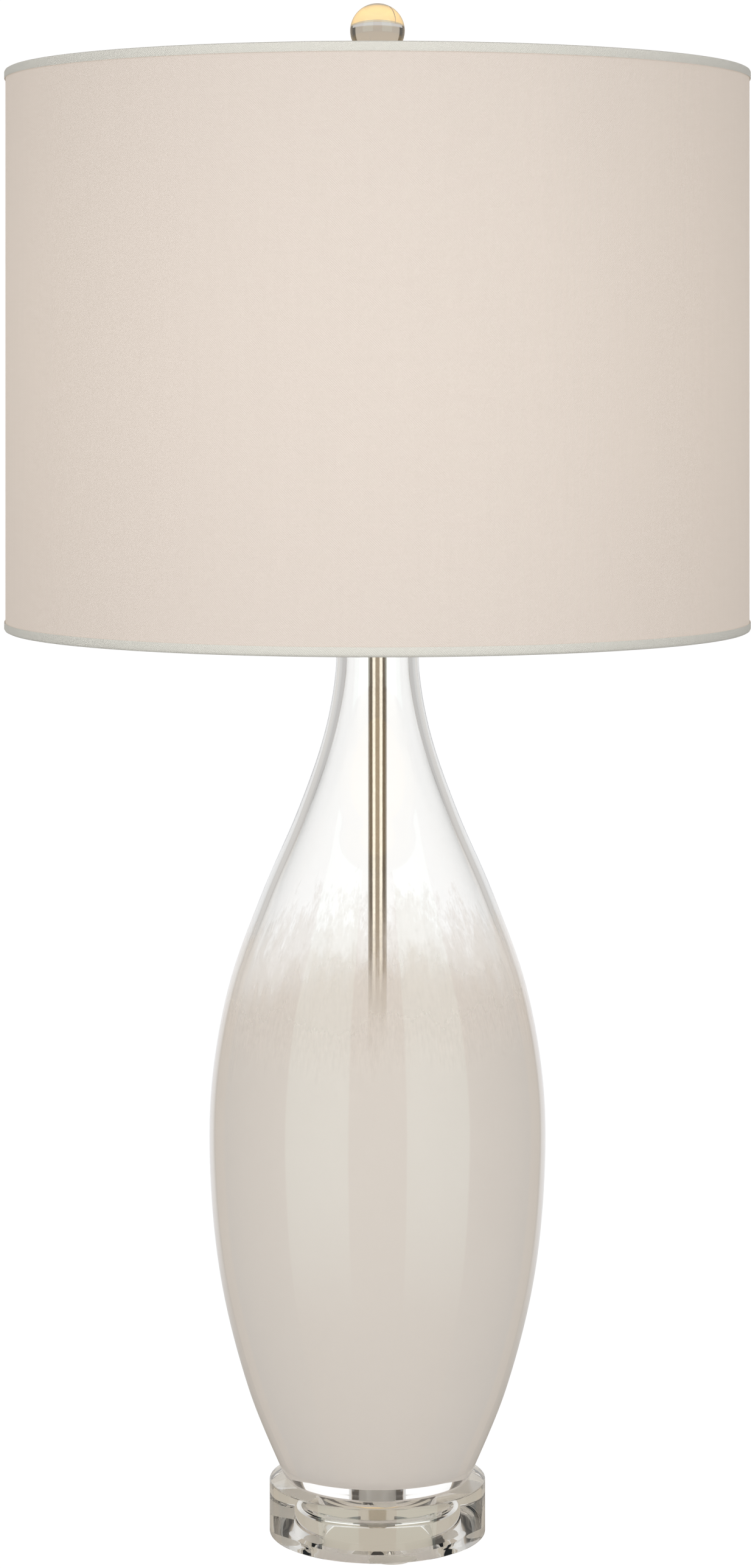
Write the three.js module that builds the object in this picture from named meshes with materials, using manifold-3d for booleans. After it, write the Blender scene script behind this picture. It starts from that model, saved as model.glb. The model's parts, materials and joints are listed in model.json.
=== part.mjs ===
// A table lamp: clear acrylic plinth, tall blown glass vessel on a nickel lamp pipe, turn-knob socket,
// detachable harp, drum shade on a three-arm spider and a crystal ball finial.
// Millimetres, +Z up. The origin is on the table under the lamp's axis, and +Y is the rear, where the cord leaves.
import * as THREE from "three";
import { mergeVertices } from "three/addons/utils/BufferGeometryUtils.js";
import Module from "manifold-3d";

const wasm = await Module();
wasm.setup();

// ---- Driving dimensions -------------------------------------------------------------------------------------

const GAP = 0.3; // clearance left where two pieces meet
const FOOT = { radius: 12, height: 1.6, circle: 44.5, count: 4, first: 10 }; // first: azimuth from +X, in degrees
const PLINTH = { radius: 59, height: 29.3, chamfer: 0.8, hole: 6.2 };
const RECESS = { radius: 30, depth: 16, fillet: 3 }; // under the plinth, for the nut and the cord
const OUTLET = { height: 8, bore: 5, bushRadius: 4.7, cordBore: 3.2, flange: 7, flangeDepth: 1.6, length: 20 };
const PIPE = { radius: 5.15, bore: 3.5, hole: 5.45, below: 8, above: 4.5 };
const GLASS = { height: 500, wall: 5.5, heel: 8, hole: 10 };
// Outer radius of the blown glass at heights above its foot.
const OUTLINE = [
  [51.4, 2.7],
  [70.3, 48.8],
  [84.7, 103.8],
  [91.2, 158.8],
  [91.0, 213.8],
  [81.5, 268.8],
  [63.6, 318.8],
  [44.1, 363.8],
  [30.0, 403.8],
  [23.2, 438.8],
  [23.1, 468.8],
  [22.5, 500.0],
];
const CAP = { skirt: 9, radius: 24.3, inner: 23.0, plate: 1.5, dome: 4.7, top: 10 };
const GASKET = { inner: 17.5, outer: 22, height: 1 };
const SPACER = { height: 17.5, radius: 10, waist: 7.5 };
const SADDLE = { halfSpan: 28.8, thickness: 1.6, width: 12, bend: 6.8, tongueWidth: 5, tongueTop: 19.9 };
const NUT = { flats: 16, height: 4, thin: 3 };
const WASHER = { radius: 13, height: 1.5 };
const SOCKET = {
  stem: 6, capRim: 21, capRadius: 18.6, wall: 1, shellRadius: 17.1, shellWall: 0.8, shellFoot: 14.5, shellTop: 57.5,
  sleeveRadius: 15.9, sleeveWall: 0.7, sleeveTop: 56.5, bodyRadius: 13.6, bodyFoot: 12.5, bodyTop: 32, bodyFlat: 11.5,
  liner: 14.1, linerWall: 0.6, linerFoot: 33, linerTop: 55, knobHeight: 26, slot: 3, setScrewHeight: 3,
};
const KNOB = { radius: 6, start: 20.5, end: 33, shaft: 1.6, shaftStart: 6, shaftEnd: 30 };
const BULB = { foot: 35, length: 105, radius: 30, shell: 12.9, neck: 13.4, wall: 1, contact: 4.6 };
const HARP = { wire: 1.9, legX: 25, footLift: 8.9, straight: 34, bulgeX: 57, bulgeLift: 133, boss: 6.5, bossHeight: 4 };
const FERRULE = { inner: 4.15, outer: 5, height: 13, x: 25.95 };
const STUD = { flange: 6.5, flangeHeight: 2.25, thread: 3.1, threadHeight: 10.65, shank: 1.9, rivet: 3 };
const SHADE = { radius: 202.9, height: 304.8, cloth: 0.7, liner: 0.7, bottom: 495.4 };
const HEM = { proud: 0.7, skin: 0.4, web: 0.6, outerDepth: 5, innerDepth: 11, innerRadius: 197.2 };
const RING = { wire: 1.6, radius: 199.4, drop: 2.5 };
const HUB = { radius: 14, hole: 3.6, height: 1.5, drop: 4.35 };
const ARMS = { count: 3, first: 119 }; // the first arm points to the rear, left of the middle
const FINIAL = { ball: 15, ballCentre: 823, foot: 6.5, waist: 4.6, cup: 8, bore: 3.5, boreDepth: 8.85 };

// ---- Levels above the table ---------------------------------------------------------------------------------

const plinthTop = FOOT.height + PLINTH.height;
const recessCeiling = FOOT.height + RECESS.depth;
const outletLevel = FOOT.height + OUTLET.height;
const glassFoot = plinthTop + GAP;
const glassTop = glassFoot + GLASS.height;
const gasketFoot = glassTop + GAP;
const capPlate = gasketFoot + GASKET.height + GAP;
const spacerFoot = capPlate + CAP.plate + CAP.dome + GAP;
const saddleFoot = spacerFoot + SPACER.height + GAP;
const saddleNutFoot = saddleFoot + SADDLE.thickness + GAP;
const socketFoot = saddleNutFoot + NUT.thin + GAP;
const rimTop = SHADE.bottom + SHADE.height;
const hubFoot = rimTop - HUB.drop;
const studSeat = hubFoot - GAP;
const bossTop = studSeat - STUD.flangeHeight - GAP;
const harpTop = bossTop - HARP.bossHeight / 2;
const ringLevel = { top: rimTop - RING.drop, bottom: SHADE.bottom + RING.drop };

// ---- Numbers of flats that the round pieces are made with ---------------------------------------------------

const ROUND = { shade: 60, glass: 48, plinth: 48, part: 24, small: 16, wire: 8, ring: 6 };

// ---- Helpers ------------------------------------------------------------------------------------------------

const vector2 = ([x, y]) => new THREE.Vector2(x, y);

// Turns a profile of [radius, height] points about Z. It starts and ends on the axis.
function turned(profile, segments = ROUND.part) {
  return new THREE.LatheGeometry(profile.map(vector2), segments).rotateX(Math.PI / 2);
}

// Turns a profile that goes round a ring's section, and closes it.
function turnedRing(profile, segments = ROUND.part) {
  return turned([...profile, profile[0]], segments);
}

function tube(inner, outer, bottom, top, segments) {
  return turnedRing([[inner, bottom], [outer, bottom], [outer, top], [inner, top]], segments);
}

// [radius, height] points along a quarter or other arc of a profile, angles in degrees from the +radius direction.
function arc(centreRadius, centreHeight, radius, from, to, steps = 4) {
  return Array.from({ length: steps + 1 }, (_, i) => {
    const angle = THREE.MathUtils.degToRad(from + ((to - from) * i) / steps);
    return [centreRadius + radius * Math.cos(angle), centreHeight + radius * Math.sin(angle)];
  });
}

// A cylinder along +Y from one distance to another, for pieces that lie across the lamp.
function crossCylinder(radius, from, to, height, segments = ROUND.small) {
  return new THREE.CylinderGeometry(radius, radius, to - from, segments).translate(0, (from + to) / 2, height);
}

function toSolid(geometry) {
  const bare = geometry.clone();
  bare.deleteAttribute("normal");
  bare.deleteAttribute("uv");
  const merged = mergeVertices(bare, 1e-4);
  return new wasm.Manifold(
    new wasm.Mesh({
      numProp: 3,
      vertProperties: new Float32Array(merged.attributes.position.array),
      triVerts: new Uint32Array(merged.index.array),
    }),
  );
}

function toGeometry(solid) {
  const mesh = solid.getMesh();
  const geometry = new THREE.BufferGeometry();
  geometry.setAttribute("position", new THREE.BufferAttribute(mesh.vertProperties, 3));
  geometry.setIndex(new THREE.BufferAttribute(mesh.triVerts, 1));
  return geometry;
}

function cut(geometry, ...tools) {
  return toGeometry(tools.reduce((solid, tool) => solid.subtract(toSolid(tool)), toSolid(geometry)));
}

function join(geometry, ...others) {
  return toGeometry(others.reduce((solid, other) => solid.add(toSolid(other)), toSolid(geometry)));
}

// ---- Materials ----------------------------------------------------------------------------------------------

const material = (color, roughness, metalness, opacity = 1) =>
  new THREE.MeshStandardMaterial({ color, roughness, metalness, opacity, transparent: opacity < 1 });

const MATERIALS = {
  acrylic: material(0xf4f6f5, 0.05, 0, 0.35),
  glass: material(0xe4ded6, 0.05, 0, 0.6),
  crystal: material(0xf5f1ea, 0.02, 0, 0.4),
  nickel: material(0xc9c2b4, 0.16, 1),
  steel: material(0x9a9a98, 0.35, 1),
  brass: material(0xb99652, 0.3, 1),
  aluminium: material(0xc8c9cb, 0.35, 1),
  phenolic: material(0x2b2522, 0.5, 0),
  fibre: material(0x3a332d, 0.85, 0),
  nylon: material(0xe9e7e2, 0.5, 0),
  rubber: material(0xd8dad8, 0.6, 0),
  cloth: material(0xe6dbcd, 0.95, 0),
  hem: material(0xd9dbcf, 0.95, 0),
  styrene: material(0xf3efe8, 0.5, 0),
  frosted: material(0xf6f1e6, 0.4, 0),
};

const lamp = new THREE.Group();

function add(name, geometry, materialName) {
  const mesh = new THREE.Mesh(geometry, MATERIALS[materialName]);
  mesh.name = name;
  lamp.add(mesh);
  return mesh;
}

// ---- Plinth -------------------------------------------------------------------------------------------------

function addFeet() {
  for (let i = 0; i < FOOT.count; i++) {
    const angle = THREE.MathUtils.degToRad(FOOT.first + (360 / FOOT.count) * i);
    const pad = turned([[0, 0], [FOOT.radius, 0], [FOOT.radius, FOOT.height], [0, FOOT.height]], ROUND.part);
    const foot = add(`bumper_foot_${i + 1}`, pad, "rubber");
    foot.position.set(FOOT.circle * Math.cos(angle), FOOT.circle * Math.sin(angle), 0);
  }
}

function plinthBlank() {
  const { radius, chamfer, hole } = PLINTH;
  const bottom = FOOT.height + GAP / 2;
  return turnedRing(
    [
      [hole, recessCeiling],
      ...arc(RECESS.radius - RECESS.fillet, recessCeiling - RECESS.fillet, RECESS.fillet, 90, 0, 2),
      [RECESS.radius, bottom],
      [radius - chamfer, bottom],
      [radius, bottom + chamfer],
      [radius, plinthTop - chamfer],
      [radius - chamfer, plinthTop],
      [hole, plinthTop],
    ],
    ROUND.plinth,
  );
}

function addPlinth() {
  const outlet = crossCylinder(OUTLET.bore, RECESS.radius - 5, PLINTH.radius + 5, outletLevel);
  add("acrylic_plinth", cut(plinthBlank(), outlet), "acrylic");
}

// The cord's flanged inlet bush, which lies along +Y in the plinth's rear.
function addCordBush() {
  const { cordBore, bushRadius, flange, flangeDepth, length } = OUTLET;
  const bush = turnedRing(
    [
      [cordBore, 0],
      [bushRadius, 0],
      [bushRadius, length - flangeDepth],
      [flange, length - flangeDepth],
      [flange, length],
      [cordBore, length],
    ],
    ROUND.small,
  );
  const mesh = add("cord_inlet_bush", bush, "nylon");
  mesh.rotation.x = -Math.PI / 2;
  mesh.position.set(0, PLINTH.radius + GAP + flangeDepth - length, outletLevel);
}

function hexNut(flats, height, bore) {
  const corner = flats / Math.sqrt(3);
  const outline = new THREE.Shape(
    Array.from({ length: 6 }, (_, i) => vector2([corner * Math.cos((i * Math.PI) / 3), corner * Math.sin((i * Math.PI) / 3)])),
  );
  outline.holes.push(new THREE.Path().absarc(0, 0, bore, 0, 2 * Math.PI, true));
  return new THREE.ExtrudeGeometry(outline, { depth: height, bevelEnabled: false, curveSegments: ROUND.small / 2 });
}

function addClampHardware() {
  const washerFoot = recessCeiling - GAP - WASHER.height;
  add("base_washer", tube(PIPE.hole, WASHER.radius, washerFoot, washerFoot + WASHER.height, ROUND.small), "steel");
  const nut = add("base_nut", hexNut(NUT.flats, NUT.height, PIPE.hole), "steel");
  nut.position.z = washerFoot - GAP - NUT.height;
}

// ---- Glass vessel and its pipe ------------------------------------------------------------------------------

const outerCurve = new THREE.SplineCurve(OUTLINE.map(([radius, height]) => vector2([radius, glassFoot + height])));

// Points of the inner face, one wall inside the outer one, from the mouth down to the heel.
function innerFace(steps) {
  const heelTop = glassFoot + GLASS.heel;
  const points = [];
  for (let i = steps; i >= 0; i--) {
    const point = outerCurve.getPoint(i / steps);
    const tangent = outerCurve.getTangent(i / steps);
    const inner = [point.x - GLASS.wall * tangent.y, point.y + GLASS.wall * tangent.x];
    if (inner[1] > heelTop + 6 && inner[1] < glassTop - 2) points.push(inner);
  }
  return points;
}

function addGlass() {
  const outer = outerCurve.getPoints(20).map((point) => [point.x, point.y]);
  const neck = OUTLINE[OUTLINE.length - 1][0] - GLASS.wall;
  const heelTop = glassFoot + GLASS.heel;
  const profile = [
    [GLASS.hole, glassFoot],
    [47.6, glassFoot],
    [50.2, glassFoot + 0.8],
    ...outer,
    [neck, glassTop],
    ...innerFace(14),
    [44, heelTop + 1.6],
    [39, heelTop],
    [GLASS.hole, heelTop],
  ];
  add("glass_vessel", turnedRing(profile, ROUND.glass), "glass");
}

function addPipe() {
  const bottom = FOOT.height + PIPE.below;
  add("lamp_pipe", tube(PIPE.bore, PIPE.radius, bottom, socketFoot + PIPE.above, ROUND.small), "nickel");
}

// Nylon bush that centres the pipe in the hole through the glass heel.
function addHeelBush() {
  const body = GLASS.hole - GAP - 0.1;
  const foot = glassFoot + 0.1;
  const shoulder = glassFoot + GLASS.heel + GAP;
  const profile = [
    [PIPE.hole, foot],
    [body, foot],
    [body, shoulder],
    [14, shoulder],
    [14, shoulder + 2],
    [PIPE.hole, shoulder + 2],
  ];
  add("heel_bush", turnedRing(profile), "nylon");
}

// ---- Cap, neck and saddle -----------------------------------------------------------------------------------

function addNeckHardware() {
  add("neck_gasket", tube(GASKET.inner, GASKET.outer, gasketFoot, gasketFoot + GASKET.height), "rubber");
  const plateTop = capPlate + CAP.plate;
  const skirtFoot = plateTop - CAP.skirt;
  const cap = turnedRing([
    [PIPE.hole, capPlate],
    [CAP.inner, capPlate],
    [CAP.inner, skirtFoot],
    [CAP.radius, skirtFoot],
    [CAP.radius, plateTop - 1],
    [CAP.radius - 1, plateTop],
    [CAP.top + 4, plateTop + 1.2],
    [CAP.top, plateTop + CAP.dome],
    [PIPE.hole, plateTop + CAP.dome],
  ], ROUND.part);
  add("vase_cap", cap, "nickel");

  const top = spacerFoot + SPACER.height;
  const waistLevel = (spacerFoot + top) / 2;
  const spacer = turnedRing([
    [PIPE.hole, spacerFoot],
    [SPACER.radius, spacerFoot],
    [SPACER.radius, spacerFoot + 2.5],
    [SPACER.waist + 0.4, spacerFoot + 4],
    [SPACER.waist, waistLevel],
    [SPACER.waist + 0.4, top - 4],
    [SPACER.radius, top - 2.5],
    [SPACER.radius, top],
    [PIPE.hole, top],
  ]);
  add("neck_spacer", spacer, "nickel");
}

// The U-shaped strip that carries the harp, with a narrow tongue standing at each end.
function addSaddle() {
  const { halfSpan, thickness, width, bend, tongueWidth, tongueTop } = SADDLE;
  const flat = halfSpan - bend;
  const side = new THREE.Shape();
  side.moveTo(-flat, 0);
  side.lineTo(flat, 0);
  side.absarc(flat, bend, bend, -Math.PI / 2, 0, false);
  side.lineTo(halfSpan, tongueTop);
  side.lineTo(halfSpan - thickness, tongueTop);
  side.lineTo(halfSpan - thickness, bend);
  side.absarc(flat, bend, bend - thickness, 0, -Math.PI / 2, true);
  side.lineTo(-flat, thickness);
  side.absarc(-flat, bend, bend - thickness, -Math.PI / 2, -Math.PI, true);
  side.lineTo(-halfSpan + thickness, tongueTop);
  side.lineTo(-halfSpan, tongueTop);
  side.lineTo(-halfSpan, bend);
  side.absarc(-flat, bend, bend, Math.PI, 1.5 * Math.PI, false);
  const strip = new THREE.ExtrudeGeometry(side, { depth: width, bevelEnabled: false, curveSegments: 4 })
    .translate(0, 0, -width / 2)
    .rotateX(Math.PI / 2);
  const hole = turned([[0, -1], [PIPE.hole, -1], [PIPE.hole, thickness + 1], [0, thickness + 1]], ROUND.small);
  const shoulder = bend + 1;
  const relief = [-1, 1].map((sideY) =>
    new THREE.BoxGeometry(2 * halfSpan + 2, width, tongueTop).translate(
      0,
      (sideY * (tongueWidth + width)) / 2,
      shoulder + tongueTop / 2,
    ),
  );
  add("harp_saddle", cut(strip, hole, ...relief), "nickel").position.z = saddleFoot;
  add("saddle_nut", hexNut(NUT.flats, NUT.thin, PIPE.hole), "steel").position.z = saddleNutFoot;
}

// ---- Socket -------------------------------------------------------------------------------------------------

// Everything in this group stands on the socket's foot.
function socketPart(name, geometry, materialName) {
  const mesh = add(name, geometry, materialName);
  mesh.position.z = socketFoot;
  return mesh;
}

function addSocketCap() {
  const { stem, capRim, capRadius, wall, setScrewHeight } = SOCKET;
  const bowl = turnedRing([
    [PIPE.hole, 0],
    [7.5, 0],
    [7.5, stem],
    [13, stem + 2.6],
    [capRadius - 1, stem + 6],
    [capRadius, stem + 8],
    [capRadius, capRim],
    [capRadius - wall, capRim],
    [capRadius - wall, stem + 8.4],
    [12.6, stem + 3.8],
    [PIPE.hole, stem + 1.2],
  ]);
  const screwHole = crossCylinder(1.8, 0, 10, setScrewHeight, 12);
  socketPart("socket_cap", cut(bowl, screwHole), "nickel");
  socketPart("cap_set_screw", crossCylinder(1.5, PIPE.radius + GAP, 9.2, setScrewHeight, 12), "steel");
}

// A tool that cuts the slot by which a shell drops over the knob's shaft.
function shaftSlot(foot) {
  const { knobHeight, slot } = SOCKET;
  const straight = new THREE.BoxGeometry(2 * slot, 24, knobHeight - foot + 2).translate(0, -18, (knobHeight + foot - 2) / 2);
  return [straight, crossCylinder(slot, -30, -6, knobHeight)];
}

function addSocketShells() {
  const s = SOCKET;
  const shell = turnedRing([
    [s.shellRadius - s.shellWall, s.shellFoot],
    [s.shellRadius, s.shellFoot],
    [s.shellRadius, s.shellTop - 3],
    [s.shellRadius + 0.7, s.shellTop - 1.5],
    [s.shellRadius, s.shellTop],
    [s.shellRadius - s.shellWall, s.shellTop],
  ]);
  socketPart("socket_shell", cut(shell, ...shaftSlot(s.shellFoot)), "nickel");
  const sleeve = tube(s.sleeveRadius - s.sleeveWall, s.sleeveRadius, s.shellFoot, s.sleeveTop);
  socketPart("insulating_sleeve", cut(sleeve, ...shaftSlot(s.shellFoot)), "fibre");
}

function addSwitchBody() {
  const s = SOCKET;
  const height = s.bodyTop - s.bodyFoot;
  const middle = (s.bodyTop + s.bodyFoot) / 2;
  const cylinder = turned([[0, s.bodyFoot], [s.bodyRadius, s.bodyFoot], [s.bodyRadius, s.bodyTop], [0, s.bodyTop]]);
  const flats = [-1, 1].map((side) =>
    new THREE.BoxGeometry(6, 40, height + 2).translate(side * (s.bodyFlat + 3), 0, middle),
  );
  const screwHoles = [-1, 1].map((side) =>
    new THREE.CylinderGeometry(1.7, 1.7, 8, 12).rotateZ(Math.PI / 2).translate(side * (s.bodyFlat - 1), 0, middle),
  );
  const shaftBore = crossCylinder(2, -20, -KNOB.shaftStart + GAP, s.knobHeight, 12);
  socketPart("switch_body", cut(cylinder, ...flats, ...screwHoles, shaftBore), "phenolic");
  [-1, 1].forEach((side, i) => {
    const screw = turned([[0, 0], [1.4, 0], [1.4, 4], [2.6, 4], [2.6, 5.5], [0, 5.5]], 12);
    const mesh = socketPart(`terminal_screw_${i + 1}`, screw.rotateY((side * Math.PI) / 2), "brass");
    mesh.position.x = side * (s.bodyFlat + GAP - 4);
    mesh.position.z += middle;
  });
}

// The threaded liner that grips the bulb's cap, and the spring leaf that meets its centre.
function addContacts() {
  const s = SOCKET;
  const inner = s.liner - s.linerWall;
  const liner = turnedRing([
    [5, s.linerFoot],
    [s.liner, s.linerFoot],
    [s.liner, s.linerTop],
    [inner, s.linerTop],
    [inner, s.linerFoot + s.linerWall],
    [5, s.linerFoot + s.linerWall],
  ]);
  socketPart("screw_liner", liner, "aluminium");
  const leaf = new THREE.Shape([[-4, 32.3], [0, 32.3], [4, 34.1], [4, 34.6], [-0.2, 32.8], [-4, 32.8]].map(vector2));
  const contact = new THREE.ExtrudeGeometry(leaf, { depth: 4, bevelEnabled: false })
    .translate(0, 0, -2)
    .rotateX(Math.PI / 2);
  socketPart("centre_contact", contact, "brass");
}

function addKnob() {
  const k = KNOB;
  const shaft = crossCylinder(k.shaft, -k.shaftEnd, -k.shaftStart, SOCKET.knobHeight, 12);
  socketPart("knob_shaft", shaft, "brass");
  const bore = k.shaft + GAP;
  const length = k.end - k.start;
  const grip = turned([
    [0, k.end - k.shaftEnd - GAP],
    [bore, k.end - k.shaftEnd - GAP],
    [bore, length],
    [4, length],
    [4.4, length - 3],
    [k.radius, length - 5],
    [k.radius, 1.2],
    [k.radius - 1.2, 0],
    [0, 0],
  ].reverse(), ROUND.small);
  const knob = socketPart("switch_knob", grip, "phenolic");
  knob.rotation.x = -Math.PI / 2;
  knob.position.y = -k.end;
  knob.position.z += SOCKET.knobHeight;
}

// ---- Bulb ---------------------------------------------------------------------------------------------------

function bulbPart(name, geometry, materialName) {
  add(name, geometry, materialName).position.z = socketFoot + BULB.foot;
}

function addBulb() {
  const { length, radius, shell, neck, wall, contact } = BULB;
  const shellFoot = 5;
  const shellTop = 27;
  bulbPart("bulb_contact", turned([[0, 0], [contact, 0], [contact, 1.2], [0, 1.2]], ROUND.small), "brass");
  const insulator = turned([[0, 1.5], [contact + 1, 1.5], [shell - 0.5, shellFoot - GAP], [0, shellFoot - GAP]]);
  bulbPart("bulb_insulator", insulator, "phenolic");
  const cap = turned([[0, shellFoot], [shell, shellFoot], [shell, shellTop], [0, shellTop]]);
  bulbPart("bulb_screw_cap", cap, "aluminium");
  // The envelope is a thin shell, open at its neck: inner face down from the crown, then the outer face back up.
  const centre = length - radius;
  const flank = new THREE.CubicBezierCurve(
    vector2([neck, shellTop + GAP]),
    vector2([neck + 0.5, shellTop + 16]),
    vector2([radius, centre - 22]),
    vector2([radius, centre]),
  ).getPoints(4).map((point) => [point.x, point.y]);
  const inner = flank.map(([r, h]) => [r - wall, h]).reverse();
  const envelope = turned([
    ...arc(0, centre, radius - wall, 90, 0, 4).slice(0, -1),
    ...inner,
    ...flank,
    ...arc(0, centre, radius, 0, 90, 4).slice(1),
  ]);
  bulbPart("bulb_envelope", envelope, "frosted");
}

// ---- Harp ---------------------------------------------------------------------------------------------------

function harpHalf(side) {
  const foot = saddleFoot + HARP.footLift;
  const shoulder = foot + HARP.straight;
  const widest = foot + HARP.bulgeLift;
  const point = (x, z) => new THREE.Vector3(side * x, 0, z);
  return [
    [point(HARP.legX, foot), point(HARP.legX, shoulder)],
    [point(HARP.legX, shoulder), point(HARP.legX, shoulder + 26), point(HARP.bulgeX, widest - 50), point(HARP.bulgeX, widest)],
    [point(HARP.bulgeX, widest), point(HARP.bulgeX, widest + 54), point(42, harpTop), point(10, harpTop)],
  ];
}

function addHarp() {
  const curveOf = (points) =>
    points.length === 2 ? new THREE.LineCurve3(...points) : new THREE.CubicBezierCurve3(...points);
  const right = harpHalf(1);
  const left = harpHalf(-1).map((points) => [...points].reverse()).reverse();
  const path = new THREE.CurvePath();
  right.forEach((points) => path.add(curveOf(points)));
  path.add(new THREE.LineCurve3(right[2][3], left[0][0]));
  left.forEach((points) => path.add(curveOf(points)));
  const section = new THREE.Shape(
    Array.from({ length: ROUND.wire }, (_, i) => {
      const angle = ((i + 0.5) * 2 * Math.PI) / ROUND.wire;
      return vector2([HARP.wire * Math.cos(angle), HARP.wire * Math.sin(angle)]);
    }),
  );
  const wire = new THREE.ExtrudeGeometry(section, { steps: 44, extrudePath: path, bevelEnabled: false });
  const bossFoot = bossTop - HARP.bossHeight;
  const boss = turned([[0, bossFoot], [HARP.boss, bossFoot], [HARP.boss, bossTop], [0, bossTop]], ROUND.small);
  const bore = STUD.shank + GAP;
  const hole = turned([[0, bossFoot - 2], [bore, bossFoot - 2], [bore, bossTop + 2], [0, bossTop + 2]], 12);
  add("harp_wire", cut(join(wire, boss), hole), "nickel");
}

function addFerrules() {
  const { inner, outer, height, x } = FERRULE;
  const foot = saddleFoot + SADDLE.bend + 1 + GAP;
  [["left", -1], ["right", 1]].forEach(([name, side]) => {
    const sleeve = turnedRing([
      [inner, 0],
      [outer - 0.5, 0],
      [outer, 1],
      [outer, height - 1],
      [outer - 0.5, height],
      [inner, height],
    ], 20);
    add(`ferrule_${name}`, sleeve, "nickel").position.set(side * x, 0, foot);
  });
}

// The threaded stud riveted loosely in the harp's top, on which the shade turns.
function addStud() {
  const bossFoot = bossTop - HARP.bossHeight;
  const flangeFoot = studSeat - STUD.flangeHeight;
  const stud = turned([
    [0, bossFoot - GAP - 2],
    [STUD.rivet, bossFoot - GAP - 2],
    [STUD.rivet, bossFoot - GAP],
    [STUD.shank, bossFoot - GAP],
    [STUD.shank, flangeFoot],
    [STUD.flange, flangeFoot],
    [STUD.flange, studSeat],
    [STUD.thread, studSeat],
    [STUD.thread, studSeat + STUD.threadHeight - 0.8],
    [STUD.thread - 0.8, studSeat + STUD.threadHeight],
    [0, studSeat + STUD.threadHeight],
  ], ROUND.small);
  add("harp_stud", stud, "nickel");
}

// ---- Shade --------------------------------------------------------------------------------------------------

const clothInner = SHADE.radius - SHADE.cloth;
const linerOuter = clothInner - GAP;
const skinBottom = SHADE.bottom + HEM.web + GAP;
const skinTop = rimTop - HEM.web - GAP;

function addDrum() {
  add("shade_cloth", tube(clothInner, SHADE.radius, skinBottom, skinTop, ROUND.shade), "cloth");
  add("shade_liner", tube(linerOuter - SHADE.liner, linerOuter, skinBottom, skinTop, ROUND.shade), "styrene");
}

// A rolled hem's section: outer band, web over the ring and inner turn-in. way is 1 at the top and -1 at the bottom.
function hem(edge, way) {
  const outer = SHADE.radius + HEM.proud;
  const at = (depth) => edge - way * depth;
  const profile = [
    [HEM.innerRadius, at(HEM.innerDepth)],
    [HEM.innerRadius + HEM.skin, at(HEM.innerDepth)],
    [HEM.innerRadius + HEM.skin, at(HEM.web)],
    [outer - HEM.skin, at(HEM.web)],
    [outer - HEM.skin, at(HEM.outerDepth)],
    [outer, at(HEM.outerDepth)],
    [outer, at(0)],
    [HEM.innerRadius, at(0)],
  ];
  return turnedRing(way > 0 ? profile : profile.reverse(), ROUND.shade);
}

const armAngle = (index) => THREE.MathUtils.degToRad(ARMS.first + (360 / ARMS.count) * index);

function addShadeFrame() {
  const armLevel = hubFoot + HUB.height / 2;
  const innerEnd = HUB.radius + GAP;
  const outerEnd = RING.radius - RING.wire - GAP;
  const notches = Array.from({ length: ARMS.count }, (_, i) =>
    new THREE.BoxGeometry(8, 2 * (RING.wire + GAP), HEM.innerDepth)
      .translate(HEM.innerRadius, 0, armLevel + RING.wire + GAP - HEM.innerDepth / 2)
      .rotateZ(armAngle(i)),
  );
  add("top_hem", cut(hem(rimTop, 1), ...notches), "hem");
  add("bottom_hem", hem(SHADE.bottom, -1), "hem");
  for (const [name, level] of Object.entries(ringLevel)) {
    const ring = new THREE.TorusGeometry(RING.radius, RING.wire, ROUND.ring, ROUND.shade);
    add(`${name}_ring`, ring, "steel").position.z = level;
  }
  add("spider_hub", tube(HUB.hole, HUB.radius, hubFoot, hubFoot + HUB.height), "nickel");
  for (let i = 0; i < ARMS.count; i++) {
    const arm = new THREE.CylinderGeometry(RING.wire, RING.wire, outerEnd - innerEnd, ROUND.wire)
      .rotateZ(Math.PI / 2)
      .translate((innerEnd + outerEnd) / 2, 0, 0);
    const mesh = add(`spider_arm_${i + 1}`, arm, "nickel");
    mesh.rotation.z = armAngle(i);
    mesh.position.z = armLevel;
  }
}

// ---- Finial -------------------------------------------------------------------------------------------------

function addFinial() {
  const f = FINIAL;
  const foot = hubFoot + HUB.height + GAP;
  const seat = f.ball + GAP;
  const cupAngle = THREE.MathUtils.radToDeg(Math.asin(f.cup / seat));
  const cupEdge = f.ballCentre - Math.sqrt(seat * seat - f.cup * f.cup);
  const base = turned([
    [0, foot + f.boreDepth],
    [f.bore, foot + f.boreDepth],
    [f.bore, foot],
    [f.foot, foot],
    [f.foot, foot + 1.5],
    [f.waist, foot + 3],
    [f.waist, foot + 6],
    [f.cup, cupEdge - 1.2],
    ...arc(0, f.ballCentre, seat, cupAngle - 90, -90, 3),
  ], ROUND.small);
  add("finial_base", base, "nickel");
  const ball = new THREE.SphereGeometry(f.ball, ROUND.part, 10).rotateX(Math.PI / 2);
  add("finial_ball", ball, "crystal").position.z = f.ballCentre;
}

addFeet();
addPlinth();
addCordBush();
addClampHardware();
addGlass();
addPipe();
addHeelBush();
addNeckHardware();
addSaddle();
addSocketCap();
addSocketShells();
addSwitchBody();
addContacts();
addKnob();
addBulb();
addHarp();
addFerrules();
addStud();
addDrum();
addShadeFrame();
addFinial();

export default lamp;
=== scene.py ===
"""Table lamp: looks, materials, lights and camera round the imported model.

Everything is in the model's own frame: +Z up, -Y towards the camera. Lengths of the pieces and in
their profiles are millimetres. Those of the camera, the materials and the studio are metres.
"""

import json
import math

import bmesh
import bpy
from mathutils import Matrix, Vector


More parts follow.
